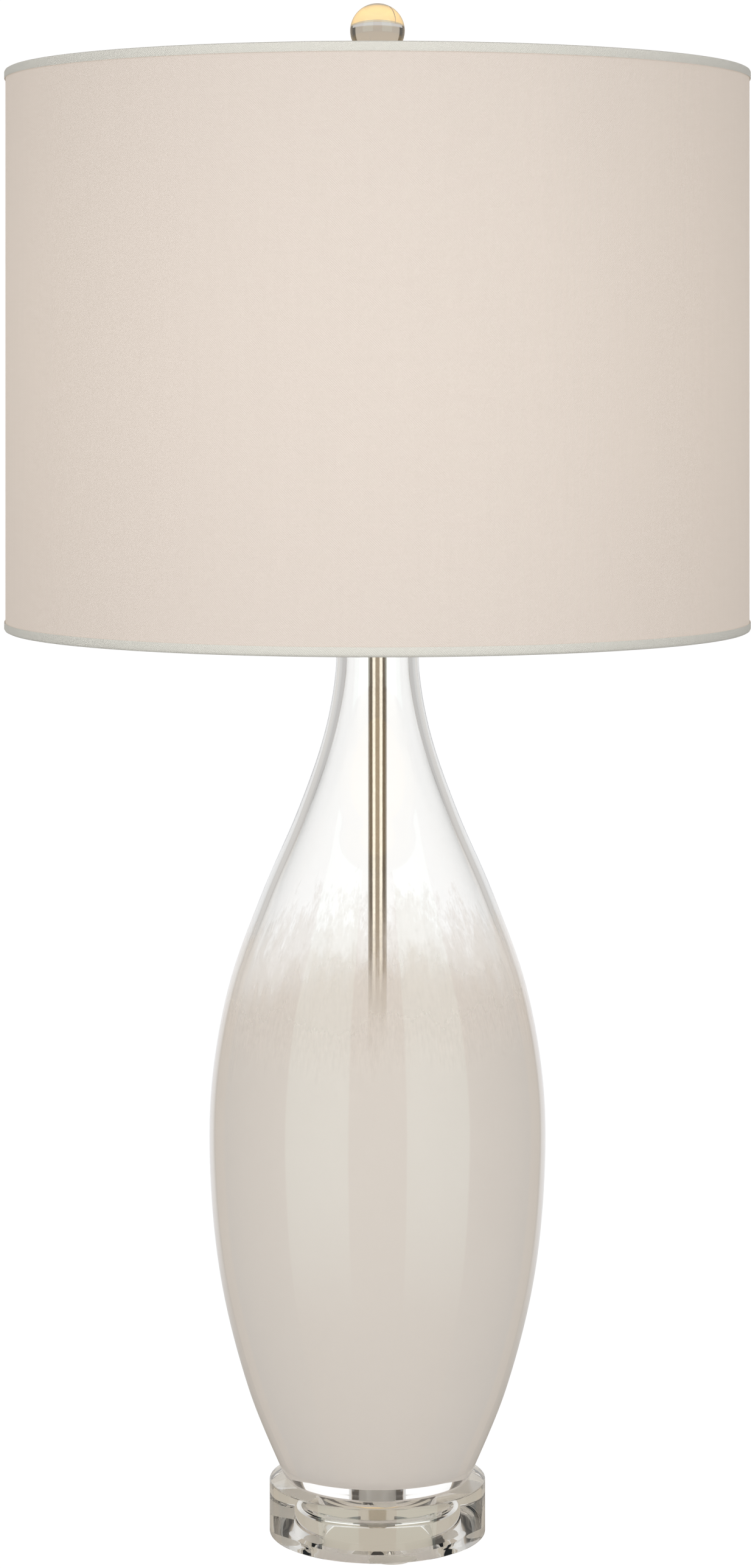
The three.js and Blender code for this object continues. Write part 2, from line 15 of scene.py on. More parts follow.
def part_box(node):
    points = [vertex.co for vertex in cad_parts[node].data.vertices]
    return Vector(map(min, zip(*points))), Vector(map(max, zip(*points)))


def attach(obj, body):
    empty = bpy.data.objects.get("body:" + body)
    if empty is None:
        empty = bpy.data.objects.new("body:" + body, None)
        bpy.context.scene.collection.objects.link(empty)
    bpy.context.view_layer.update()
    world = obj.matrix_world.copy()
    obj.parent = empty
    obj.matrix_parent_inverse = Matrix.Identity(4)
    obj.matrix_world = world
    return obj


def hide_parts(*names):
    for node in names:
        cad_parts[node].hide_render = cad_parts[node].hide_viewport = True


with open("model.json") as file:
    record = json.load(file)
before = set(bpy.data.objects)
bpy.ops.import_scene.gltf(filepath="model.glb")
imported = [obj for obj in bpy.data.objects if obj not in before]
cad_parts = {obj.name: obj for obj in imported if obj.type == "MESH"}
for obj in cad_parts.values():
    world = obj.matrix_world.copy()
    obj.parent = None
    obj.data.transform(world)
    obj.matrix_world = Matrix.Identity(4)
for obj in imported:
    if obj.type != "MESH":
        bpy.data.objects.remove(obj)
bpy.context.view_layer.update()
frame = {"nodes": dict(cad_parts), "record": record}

MM = 0.001
TURN = 2 * math.pi
BODY_OF = {
    node: body for body, nodes in frame["record"]["behaviour"]["bodies"].items() for node in nodes
}
SLOT_OF = {part["node"]: part["material_slot"] for part in frame["record"]["subparts"]}


def low(node):
    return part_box(node)[0].z / MM


def high(node):
    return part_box(node)[1].z / MM


# ---- Camera -----------------------------------------------------------------

CAMERA_DISTANCE = 2.051
CAMERA_HEIGHT = 0.6405

camera_data = bpy.data.cameras.new("camera")
camera_data.lens = 85.95
camera_data.sensor_width = 36
camera_data.shift_x = -0.0003
camera_data.shift_y = -0.268
camera_data.clip_end = 50
camera = bpy.data.objects.new("camera", camera_data)
camera.location = (0, -CAMERA_DISTANCE, CAMERA_HEIGHT)
camera.rotation_euler = (math.pi / 2, 0, 0)
bpy.context.scene.collection.objects.link(camera)
bpy.context.scene.camera = camera


# ---- Node helpers -----------------------------------------------------------


class Nodes:
    """A short way to write a node tree: each method adds a node and returns its output socket."""

    def __init__(self, tree):
        self.tree = tree
        tree.nodes.clear()

    def add(self, kind, inputs=(), **settings):
        node = self.tree.nodes.new("ShaderNode" + kind)
        for name, value in settings.items():
            setattr(node, name, value)
        for key, value in dict(inputs).items():
            self.put(node.inputs[key], value)
        return node

    def put(self, socket, value):
        if isinstance(value, bpy.types.NodeSocket):
            self.tree.links.new(value, socket)
        elif hasattr(value, "__len__") and len(value) == 3 and len(socket.default_value) == 4:
            socket.default_value = (*value, 1)
        else:
            socket.default_value = value

    def math(self, operation, a, b=0.0, clamp=False):
        node = self.add("Math", {0: a, 1: b}, operation=operation, use_clamp=clamp)
        return node.outputs[0]

    def plus(self, a, b):
        return self.math("ADD", a, b)

    def minus(self, a, b):
        return self.math("SUBTRACT", a, b)

    def times(self, a, b):
        return self.math("MULTIPLY", a, b)

    def linear(self, value, start, end, to_start=0.0, to_end=1.0, **settings):
        inputs = {
            "Value": value,
            "From Min": start,
            "From Max": end,
            "To Min": to_start,
            "To Max": to_end,
        }
        return self.add("MapRange", inputs, **settings).outputs["Result"]

    def smooth(self, *values):
        """Like linear, but easing in and out."""
        return self.linear(*values, interpolation_type="SMOOTHSTEP")

    def object_point(self):
        return self.add("TexCoord").outputs["Object"]

    def scaled(self, vector, scale):
        return self.add("Mapping", {"Vector": vector, "Scale": scale}).outputs["Vector"]

    def split(self, vector):
        return self.add("SeparateXYZ", {"Vector": vector}).outputs

    def dot(self, a, b):
        return self.add("VectorMath", {0: a, 1: b}, operation="DOT_PRODUCT").outputs["Value"]

    def noise(self, vector, scale, detail=2.0, roughness=0.5):
        inputs = {"Vector": vector, "Scale": scale, "Detail": detail, "Roughness": roughness}
        return self.add("TexNoise", inputs).outputs[0]

    def mix(self, factor, a, b):
        node = self.add("Mix", data_type="RGBA")
        self.put(node.inputs["Factor"], factor)
        self.put(node.inputs[6], a)
        self.put(node.inputs[7], b)
        return node.outputs[2]

    def bump(self, height, distance, strength=1.0):
        inputs = {"Height": height, "Distance": distance, "Strength": strength}
        return self.add("Bump", inputs).outputs["Normal"]

    def turn(self, vector):
        """Azimuth of a point or direction about Z, in radians: 0 towards -Y, positive to +X."""
        x, y, _ = self.split(vector)
        return self.math("ARCTAN2", x, self.times(y, -1.0))


def principled(name, **sockets):
    """A material with one Principled shader. Constant values go on its own sockets."""
    material = bpy.data.materials.new(name)
    material.use_nodes = True
    nodes = Nodes(material.node_tree)
    shader = nodes.add("BsdfPrincipled")
    output = nodes.add("OutputMaterial")
    nodes.tree.links.new(shader.outputs[0], output.inputs["Surface"])
    for key, value in sockets.items():
        nodes.put(shader.inputs[key.replace("_", " ")], value)
    return material, nodes, shader


# ---- Materials --------------------------------------------------------------

GRAIN = 900.0  # noise scale of the fine grain on moulded pieces and the liner

# The paint in the vessel: heights and lengths are in metres.
COAT_LIGHT = (0.467, 0.443, 0.408)
COAT_SHADE = (0.457, 0.431, 0.393)
COAT_GLOW = (0.375, 0.344, 0.318)  # painted glow: light that spreads in the glass and the paint
COAT_INSIDE_GAIN = 1.27  # that light is stronger on the paint's inner side
COAT_EDGE_GAIN = 1.16  # and where the paint thins out
COAT_TILT = 0.007  # its edge stands this much higher on one side and lower on the other
COAT_TILT_TURN = -0.74  # radians, added to the azimuth
COAT_WAVE = 0.015  # reach of the edge's slow rise and fall
STREAK = 0.042  # reach of the streaks
FINE_STREAK = 0.014
VEIL = (0.342, 0.314)  # heights where the streaks begin and where they have closed up
COVER = (0.310, 0.268)  # heights where the paint is thinnest and where it is full
THIN_COVER = 0.22  # its opacity where it is thinnest
COAT_EDGE = (0.286, 0.318)  # heights between which COAT_EDGE_GAIN comes in

WEAVE = 0.00062  # thread pitch of the shade's cloth, metres
DRUM_RADIUS = 0.203  # sets how many threads go round the drum
# Painted glow of the shade's cloth, as emission, for the bulb's light through it.
SHADE_GLOW = (0.385, 0.321, 0.254)
# Painted glow of the liner, as emission, for the bulb's light through it.
LINER_GLOW = (0.58, 0.40, 0.17)
BULB_GLOW = (1.0, 0.80, 0.56)
RUBBER_GLOW = (0.22, 0.20, 0.17)
BULB_HEIGHT = 0.672


def nickel():
    """Bright nickel plate with faint clouding and the finest of polishing marks."""
    material, n, shader = principled("polished_nickel", Metallic=1.0)
    point = n.scaled(n.object_point(), (60, 60, 60))
    tone = n.noise(point, 4.0, 3.0)
    n.put(shader.inputs["Base Color"], n.mix(tone, (0.80, 0.755, 0.69), (0.70, 0.66, 0.60)))
    cloud = n.noise(point, 14.0, 4.0)
    n.put(shader.inputs["Roughness"], n.linear(cloud, 0.3, 0.7, 0.07, 0.17))
    n.put(shader.inputs["Normal"], n.bump(n.noise(point, 30.0, 3.0), 0.00003, 0.5))
    return material


def plain_metal(name, light, dark, rough):
    material, n, shader = principled(name, Metallic=1.0)
    point = n.object_point()
    n.put(shader.inputs["Base Color"], n.mix(n.noise(point, 220.0, 4.0), light, dark))
    cloud = n.noise(point, 500.0, 3.0)
    n.put(shader.inputs["Roughness"], n.linear(cloud, 0.3, 0.7, rough - 0.08, rough + 0.1))
    n.put(shader.inputs["Normal"], n.bump(n.noise(point, 1400.0, 3.0), 0.00005, 0.4))
    return material


def plain_moulding(name, light, dark, rough, glow=(0, 0, 0)):
    """A matt moulded piece. glow stands in for light that spreads inside a see-through one."""
    material, n, shader = principled(name, Emission_Color=glow, Emission_Strength=1.0)
    point = n.object_point()
    n.put(shader.inputs["Base Color"], n.mix(n.noise(point, 160.0, 4.0), light, dark))
    grain = n.noise(point, GRAIN, 3.0)
    n.put(shader.inputs["Roughness"], n.linear(grain, 0.3, 0.7, rough - 0.07, rough + 0.1))
    n.put(shader.inputs["Normal"], n.bump(n.noise(point, GRAIN, 3.0), 0.00006, 0.5))
    return material


def clear(name, tint, ior, wave=0.0):
    """Clear glass or acrylic, with a trace of haze. wave makes its faces uneven."""
    material, n, shader = principled(name, Transmission_Weight=1.0, IOR=ior)
    point = n.object_point()
    deeper = tuple(c * 0.985 for c in tint)
    n.put(shader.inputs["Base Color"], n.mix(n.noise(point, 9.0, 2.0), tint, deeper))
    haze = n.noise(point, 38.0, 4.0, 0.6)
    n.put(shader.inputs["Roughness"], n.linear(haze, 0.55, 0.85, 0.0, 0.02))
    if wave:
        tall = n.noise(n.scaled(point, (1, 1, 0.35)), 22.0, 1.0)
        n.put(shader.inputs["Normal"], n.bump(tall, wave, 1.0))
    return material


def white_coat():
    """Opaque white paint on the inside of the glass, which feathers upwards in fine streaks."""
    material, n, shader = principled("white_coat", Roughness=0.5)
    point = n.object_point()
    z = n.split(point)[2]
    turn = n.turn(point)
    broad = n.noise(n.scaled(point, (1, 1, 0.12)), 30.0, 2.0)
    streak = n.noise(n.scaled(point, (1, 1, 0.05)), 150.0, 4.0, 0.62)
    fine = n.noise(n.scaled(point, (1, 1, 0.04)), 560.0, 3.0, 0.6)

    def reaching(noise, reach):
        return n.linear(noise, 0, 1, -reach, reach)

    tilt = n.times(n.math("SINE", n.plus(turn, COAT_TILT_TURN)), COAT_TILT)
    calm = n.minus(n.minus(z, tilt), reaching(broad, COAT_WAVE))
    strokes = n.plus(reaching(streak, STREAK), reaching(fine, FINE_STREAK))
    veil = n.smooth(n.minus(calm, strokes), *VEIL)
    thick = n.minus(calm, n.times(strokes, 0.4))
    cover = n.smooth(thick, *COVER, THIN_COVER, 1.0)
    n.put(shader.inputs["Alpha"], n.times(veil, cover))
    mottle = n.noise(n.scaled(point, (1, 1, 0.4)), 26.0, 3.0)
    n.put(shader.inputs["Base Color"], n.mix(mottle, COAT_LIGHT, COAT_SHADE))
    # Painted glow: emission stands in for light spreading in the glass and the paint.
    n.put(shader.inputs["Emission Color"], COAT_GLOW)
    coords = n.add("TexCoord").outputs
    axial = n.scaled(coords["Object"], (1, 1, 0))
    inside = n.math("LESS_THAN", n.dot(coords["Normal"], axial), 0.0)  # 1 towards the axis
    edge = n.smooth(calm, *COAT_EDGE, 1.0, COAT_EDGE_GAIN)
    gain = n.linear(inside, 0, 1, 1.0, COAT_INSIDE_GAIN)
    n.put(shader.inputs["Emission Strength"], n.times(edge, gain))
    n.put(shader.inputs["Normal"], n.bump(fine, 0.00004, 0.4))
    return material


def weave(n, point, z):
    """Height of a plain weave wrapped round the drum."""
    turn = n.turn(point)
    threads = round(TURN * DRUM_RADIUS / (2 * WEAVE))
    wobble = n.noise(n.scaled(point, (1, 1, 0.2)), 90.0, 3.0)
    warp = n.math("SINE", n.plus(n.times(turn, threads), n.times(wobble, 1.2)))
    weft = n.math("SINE", n.times(z, math.pi / WEAVE))
    return n.times(warp, weft)


def beside_bulb(n, z, height, spread):
    """1 at a height near the bulb's, falling off above and below it over the spread."""
    near = n.math("DIVIDE", n.minus(z, height), spread)
    return n.math("EXPONENT", n.times(n.times(near, near), -1.0))


def cloth(name, light, dark, glow=None):
    """Woven cloth with slubs. glow is painted light through it, brightest near the bulb."""
    material, n, shader = principled(name, Sheen_Weight=0.15, Sheen_Roughness=0.6)
    point = n.object_point()
    z = n.split(point)[2]
    height = weave(n, point, z)
    slub_v = n.noise(n.scaled(point, (1, 1, 0.06)), 260.0, 3.0, 0.6)
    slub_h = n.noise(n.scaled(point, (0.12, 0.12, 1)), 420.0, 3.0, 0.6)
    slub = n.plus(n.times(slub_v, 0.55), n.times(slub_h, 0.45))
    calm = n.times(n.minus(slub, 0.5), 0.6)
    shade = n.math("ADD", n.linear(height, -1, 1, 0.38, 0.62), calm, clamp=True)
    n.put(shader.inputs["Base Color"], n.mix(shade, light, dark))
    n.put(shader.inputs["Roughness"], n.linear(slub, 0.3, 0.7, 0.86, 0.98))
    n.put(shader.inputs["Normal"], n.bump(n.plus(height, slub), 0.00012, 0.6))
    if glow:
        # Painted glow: emission stands in for the bulb's light through the cloth.
        fade = beside_bulb(n, z, BULB_HEIGHT - 0.02, 0.18)
        thin = n.linear(slub, 0.25, 0.75, 1.012, 0.988)
        n.put(shader.inputs["Emission Color"], glow)
        n.put(shader.inputs["Emission Strength"], n.times(n.linear(fade, 0, 1, 0.80, 1.0), thin))
    return material


def liner():
    """Translucent styrene, with a painted glow for light from inside, brightest beside the bulb."""
    material, n, shader = principled("styrene_liner", Roughness=0.45)
    point = n.object_point()
    z = n.split(point)[2]
    mottle = n.noise(point, 60.0, 3.0)
    n.put(shader.inputs["Base Color"], n.mix(mottle, (0.50, 0.46, 0.38), (0.46, 0.42, 0.35)))
    fade = beside_bulb(n, z, BULB_HEIGHT, 0.15)
    thin = n.linear(mottle, 0.3, 0.7, 0.98, 1.02)
    # Painted glow: emission stands in for the bulb's light through the styrene.
    n.put(shader.inputs["Emission Color"], LINER_GLOW)
    n.put(shader.inputs["Emission Strength"], n.times(n.linear(fade, 0, 1, 0.55, 1.35), thin))
    n.put(shader.inputs["Normal"], n.bump(n.noise(point, GRAIN, 2.0), 0.00003, 0.4))
    return material


def bulb_glass():
    """Frosted glass that glows, less so at its neck."""
    material, n, shader = principled("frosted_glass", IOR=1.5)
    point = n.object_point()
    z = n.split(point)[2]
    frost = n.noise(point, 120.0, 3.0)
    n.put(shader.inputs["Base Color"], n.mix(frost, (0.92, 0.90, 0.86), (0.86, 0.84, 0.80)))
    grain = n.noise(point, 500.0, 2.0)
    n.put(shader.inputs["Roughness"], n.linear(grain, 0.3, 0.7, 0.3, 0.42))
    n.put(shader.inputs["Emission Color"], BULB_GLOW)
    neck = (low("bulb_envelope") + 4) * MM
    n.put(shader.inputs["Emission Strength"], n.smooth(z, neck, neck + 0.04, 0.7, 3.2))
    return material


MATERIALS = {
    "clear_glass": clear("clear_glass", (0.985, 0.985, 0.98), 1.5, wave=0.00012),
    "clear_acrylic": clear("clear_acrylic", (0.985, 0.98, 0.965), 1.49),
    "crystal": clear("crystal", (0.99, 0.985, 0.975), 1.52),
    "white_coat": white_coat(),
    "polished_nickel": nickel(),
    "zinc_steel": plain_metal("zinc_steel", (0.66, 0.66, 0.65), (0.52, 0.52, 0.52), 0.34),
    "brass": plain_metal("brass", (0.80, 0.62, 0.32), (0.66, 0.50, 0.24), 0.3),
    "aluminium": plain_metal("aluminium", (0.80, 0.80, 0.81), (0.70, 0.70, 0.71), 0.3),
    "black_phenolic": plain_moulding(
        "black_phenolic", (0.030, 0.026, 0.024), (0.018, 0.016, 0.015), 0.32
    ),
    "vulcanised_fibre": plain_moulding(
        "vulcanised_fibre", (0.10, 0.085, 0.07), (0.07, 0.06, 0.05), 0.8
    ),
    "white_nylon": plain_moulding("white_nylon", (0.80, 0.79, 0.76), (0.72, 0.71, 0.68), 0.45),
    "clear_rubber": plain_moulding(
        "clear_rubber", (0.66, 0.64, 0.59), (0.60, 0.58, 0.54), 0.4, RUBBER_GLOW
    ),
    "shade_cloth": cloth("shade_cloth", (0.388, 0.364, 0.364), (0.36, 0.336, 0.336), SHADE_GLOW),
    "hem_tape": cloth("hem_tape", (0.69, 0.68, 0.63), (0.645, 0.635, 0.59)),
    "styrene_liner": liner(),
    "frosted_glass": bulb_glass(),
}


# ---- Mesh helpers -----------------------------------------------------------


def piece_of(bm, name):
    """A piece made of a bmesh, which is used up."""
    mesh = bpy.data.meshes.new(name)
    bm.to_mesh(mesh)
    bm.free()
    piece = bpy.data.objects.new(name, mesh)
    bpy.context.scene.collection.objects.link(piece)
    return piece


def finish_mesh(mesh, angle=32):
    """Smooth shading, with edges kept sharp where faces meet at more than angle, in degrees."""
    mesh.update()
    for polygon in mesh.polygons:
        polygon.use_smooth = True
    mesh.set_sharp_from_angle(angle=math.radians(angle))


def skinned(bm, name, rings, closed=False, angle=32):
    """A piece with faces from each ring to the next. A ring of one point is a pole, and the open
    ends of other rings are capped."""
    pairs = list(zip(rings, rings[1:]))
    if closed:
        pairs.append((rings[-1], rings[0]))
    for a, b in pairs:
        sides = max(len(a), len(b))
        for i in range(sides):
            j = (i + 1) % sides
            corners = [a[i % len(a)], a[j % len(a)], b[j % len(b)], b[i % len(b)]]
            corners = list(dict.fromkeys(corners))
            if len(corners) > 2:
                bm.faces.new(corners)
    if not closed and len(rings[0]) > 1:
        bm.faces.new(rings[0][::-1])
        bm.faces.new(rings[-1])
    bmesh.ops.recalc_face_normals(bm, faces=bm.faces)
    piece = piece_of(bm, name)
    finish_mesh(piece.data, angle)
    return piece


def arc(centre_r, centre_z, radius, start, end, steps=6):
    """(radius, height) points along an arc, angles in degrees from the outward direction."""
    turns = [math.radians(start + (end - start) * i / steps) for i in range(steps + 1)]
    return [(centre_r + radius * math.cos(t), centre_z + radius * math.sin(t)) for t in turns]


def cubic(a, b, c, d, steps):
    """Points of a cubic curve from a to d, with b and c as its handles."""
    points = []
    for i in range(steps + 1):
        t = i / steps
        weights = ((1 - t) ** 3, 3 * (1 - t) ** 2 * t, 3 * (1 - t) * t**2, t**3)
        axes = zip(a, b, c, d)
        points.append(tuple(sum(w * p for w, p in zip(weights, axis)) for axis in axes))
    return points


def turned(name, profile, segments=96, closed=False, ripple=None, angle=32):
    """Turns (radius, height) points about Z, in mm. An open profile begins and ends on the axis."""
    bm = bmesh.new()
    rings = []
    for r, z in profile:
        if r < 1e-6:
            rings.append([bm.verts.new((0, 0, z * MM))])
            continue
        ring = []
        for i in range(segments):
            t = TURN * i / segments
            radius = (r + (ripple(t, r, z) if ripple else 0)) * MM
            ring.append(bm.verts.new((radius * math.sin(t), -radius * math.cos(t), z * MM)))
        rings.append(ring)
    return skinned(bm, name, rings, closed, angle)


def rod(name, radius, start, end, segments=48):
    return turned(name, [(0, start), (radius, start), (radius, end), (0, end)], segments)


def swept(name, points, radius, sides=16, closed=False):
    """A round wire along points, in mm, with flat ends."""
    path = [Vector(p) * MM for p in points]
    count = len(path)
    bm = bmesh.new()
    rings = []
    normal = None
    for i, point in enumerate(path):
        before = path[i - 1] if i or closed else path[0]
        after = path[(i + 1) % count] if i + 1 < count or closed else path[-1]
        tangent = (after - before).normalized()
        if normal is None:
            normal = tangent.orthogonal().normalized()
        normal = (normal - tangent * normal.dot(tangent)).normalized()
        side = tangent.cross(normal)
        ring = []
        for k in range(sides):
            t = TURN * k / sides
            outwards = normal * math.cos(t) + side * math.sin(t)
            ring.append(bm.verts.new(point + outwards * radius * MM))
        rings.append(ring)
    return skinned(bm, name, rings, closed, 40)


def boolean(piece, tool, operation):
    """Joins a tool to a piece or cuts it out, and removes the tool."""
    modifier = piece.modifiers.new(operation, "BOOLEAN")
    modifier.object = tool
    modifier.operation = operation
    modifier.solver = "EXACT"
    graph = bpy.context.evaluated_depsgraph_get()
    mesh = bpy.data.meshes.new_from_object(piece.evaluated_get(graph))
    piece.modifiers.clear()
    piece.data = mesh
    bpy.data.objects.remove(tool)
    finish_mesh(mesh)


def place(piece, rotation=(0, 0, 0), at=(0, 0, 0)):
    """Bakes a rotation, in degrees, and then a move, in mm, into a piece's mesh."""
    piece.rotation_euler = [math.radians(a) for a in rotation]
    piece.location = Vector(at) * MM
    bpy.context.view_layer.update()
    piece.data.transform(piece.matrix_world)
    piece.rotation_euler = (0, 0, 0)
    piece.location = (0, 0, 0)
    return piece


def stand_for(piece, *nodes, slot=None):
    """Dresses a piece, makes it ride where its nodes do and lets it stand for them."""
    name = slot or SLOT_OF[nodes[0]]
    piece.data.materials.clear()
    piece.data.materials.append(MATERIALS[name])
    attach(piece, BODY_OF[nodes[0]])
    if slot is None:
        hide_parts(*nodes)


# ---- Plinth -----------------------------------------------------------------

PLINTH_R = 59.0
PLINTH_EDGE = 0.7  # radius of its eased edges
PLINTH_HOLE = 6.2
RECESS_R = 30.0
RECESS_TOP = 17.6
RECESS_FILLET = 4.0
RECESS_BEVEL = 1.5
plinth_low, plinth_high = low("acrylic_plinth"), high("acrylic_plinth")
OUTLET_LEVEL = (low("cord_inlet_bush") + high("cord_inlet_bush")) / 2


def make_plinth():
    rim, edge = PLINTH_R - PLINTH_EDGE, PLINTH_EDGE
    profile = [
        (PLINTH_HOLE, RECESS_TOP),
        *arc(RECESS_R - RECESS_FILLET, RECESS_TOP - RECESS_FILLET, RECESS_FILLET, 90, 0, 8),
        (RECESS_R, plinth_low + RECESS_BEVEL),
        (RECESS_R + RECESS_BEVEL, plinth_low),
        (rim, plinth_low),
        *arc(rim, plinth_low + edge, edge, -90, 0, 3)[1:],
        *arc(rim, plinth_high - edge, edge, 0, 90, 3),
        (PLINTH_HOLE + 0.3, plinth_high),
        (PLINTH_HOLE, plinth_high - 0.3),
    ]
    plinth = turned("acrylic_plinth_fine", profile, 192, closed=True)
    radius, length, start = 5, 40, 25
    outlet = place(rod("outlet", radius, 0, length), (-90, 0, 0), (0, start, OUTLET_LEVEL))
    boolean(plinth, outlet, "DIFFERENCE")
    stand_for(plinth, "acrylic_plinth")


def make_feet():
    """Soft domed bumpers, stuck to the plinth's underside without an air gap."""
    for i in range(1, 5):
        node = f"bumper_foot_{i}"
        corner_a, corner_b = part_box(node)
        middle = (corner_a + corner_b) / 2 / MM
        radius = (corner_b.x - corner_a.x) / 2 / MM
        top = plinth_low + 0.05
        profile = [
            (0, 0),
            (radius - 3.0, 0.02),
            (radius - 1.6, 0.12),
            *arc(radius - 1.0, 0.9, 0.8, -70, 0, 4),
            (radius - 0.1, top - 0.3),
            (radius, top),
            (0, top),
        ]
        foot = turned(f"{node}_fine", profile, 72)
        place(foot, at=(middle.x, middle.y, 0))
        stand_for(foot, node)


def make_cord_bush():
    profile = [
        (3.5, 0),
        (4.5, 0),
        (4.7, 0.5),
        (4.7, 18.4),
        (6.6, 18.4),
        (7.0, 18.8),
        *arc(6.0, 19.0, 1.0, 0, 90, 4),
        *arc(4.4, 18.8, 1.2, 90, 180, 4),
        (3.2, 0.4),
    ]
    bush = turned("cord_inlet_bush_fine", profile, 64, closed=True)
    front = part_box("cord_inlet_bush")[0].y / MM
    place(bush, (-90, 0, 0), (0, front, OUTLET_LEVEL))
    stand_for(bush, "cord_inlet_bush")


# ---- Glass vessel, coat and pipe --------------------------------------------

BORE = 5.45  # radius of the holes that the lamp pipe passes through

# Outer radius of the blown glass, and the height above its foot.
OUTLINE = [
    (51.4, 2.7),
    (70.3, 48.8),
    (84.7, 103.8),
    (91.2, 158.8),
    (91.0, 213.8),
    (81.5, 268.8),
    (63.6, 318.8),
    (44.1, 363.8),
    (30.0, 403.8),
    (23.2, 438.8),
    (23.1, 468.8),
    (22.5, 500.0),
]
MOUTH_R = OUTLINE[-1][0]
WALL = 5.5
HEEL = 8.0  # thickness of the floor
HEEL_HOLE = 10.0
HEEL_TURN = HEEL + 8  # height above the foot where the wall's inner face is at its full distance
glass_low, glass_high = low("glass_vessel"), high("glass_vessel")


def outline(t):
    """Point and tangent of the glass's outer curve, t from 0 at the foot to 1 at the mouth."""
    spans = len(OUTLINE) - 1
    place_on = min(max(t, 0), 1) * spans
    k = min(int(place_on), spans - 1)
    w = place_on - k
    picks = [OUTLINE[min(max(k + d, 0), spans)] for d in (-1, 0, 1, 2)]
    point, tangent = [], []
    for axis in (0, 1):
        a, b, c, d = (p[axis] for p in picks)
        va, vb = (c - a) / 2, (d - b) / 2
        cubed = 2 * b - 2 * c + va + vb
        squared = -3 * b + 3 * c - 2 * va - vb
        point.append(cubed * w**3 + squared * w**2 + va * w + b)
        tangent.append(cubed * 3 * w**2 + squared * 2 * w + va)
    length = math.hypot(*tangent)
    return (point[0], point[1] + glass_low), (tangent[0] / length, tangent[1] / length)


def offset_outline(inset, start, end, steps):
    """The outline moved inwards, between two shares of its length."""
    points = []
    for i in range(steps + 1):
        (r, z), (tr, tz) = outline(start + (end - start) * i / steps)
        points.append((r - inset * tz, z + inset * tr))
    return points


def heel_inside():
    """Where the heel's floor turns up into the wall's inner face, with a generous inner radius."""
    floor = glass_low + HEEL
    return [(38.0, floor), (43.5, floor + 0.5), (47.6, floor + 2.2), (50.6, floor + 5.2)]


def make_vessel():
    outer = offset_outline(0, 0, 1, 150)
    foot, top = glass_low + HEEL_TURN, glass_high - 1
    inner = [p for p in offset_outline(WALL, 1, 0, 150) if foot < p[1] < top]
    profile = [
        (HEEL_HOLE + 0.4, glass_low),
        (47.6, glass_low),
        (49.3, glass_low + 0.35),
        (50.5, glass_low + 1.2),
        *outer,
        (MOUTH_R - 0.6, glass_high),
        (MOUTH_R - WALL + 0.6, glass_high),
        *inner,
        *heel_inside()[::-1],
        (HEEL_HOLE + 0.4, glass_low + HEEL),
        (HEEL_HOLE, glass_low + HEEL - 0.4),
        (HEEL_HOLE, glass_low + 0.4),
    ]
    vessel = turned("glass_vessel_fine", profile, 192, closed=True, angle=40)
    stand_for(vessel, "glass_vessel")


COAT_TOP = 0.80  # share of the outline where the last streaks have died out
COAT_DEPTHS = (0.10, 0.22)  # of its two faces, from the wall's inner face into the wall


def make_coat():
    """The paint's own thin skin, buried in the wall just behind its inner face."""
    skins = []
    for depth in COAT_DEPTHS:
        wall = offset_outline(WALL - depth, 0, COAT_TOP, 120)
        wall = [p for p in wall if p[1] > glass_low + HEEL_TURN]
        floor = [(r, z - depth * 0.8) for r, z in heel_inside()]
        skins.append([(10.8, glass_low + HEEL - depth), *floor, *wall])
    profile = skins[0] + skins[1][::-1]
    coat = turned("white_coat", profile, 192, closed=True, angle=60)
    stand_for(coat, "glass_vessel", slot="white_coat")


def make_pipe():
    bottom, top = low("lamp_pipe"), high("lamp_pipe")
    profile = [
        (3.5, bottom),
        (4.9, bottom),
        (5.15, bottom + 0.3),
        (5.15, top - 0.3),
        (4.9, top),
        (3.5, top),
    ]
    pipe = turned("lamp_pipe_fine", profile, 64, closed=True)
    stand_for(pipe, "lamp_pipe")


def make_heel_bush():
    foot, top = low("heel_bush"), high("heel_bush")
    shoulder = top - 2
    profile = [
        (BORE, foot),
        (9.3, foot),
        (9.6, foot + 0.3),
        (9.6, shoulder),
        (13.7, shoulder),
        (14.0, shoulder + 0.3),
        (14.0, top - 0.5),
        (13.5, top),
        (BORE, top),
    ]
    stand_for(turned("heel_bush_fine", profile, 64, closed=True), "heel_bush")


# ---- Cap, neck, saddle ------------------------------------------------------


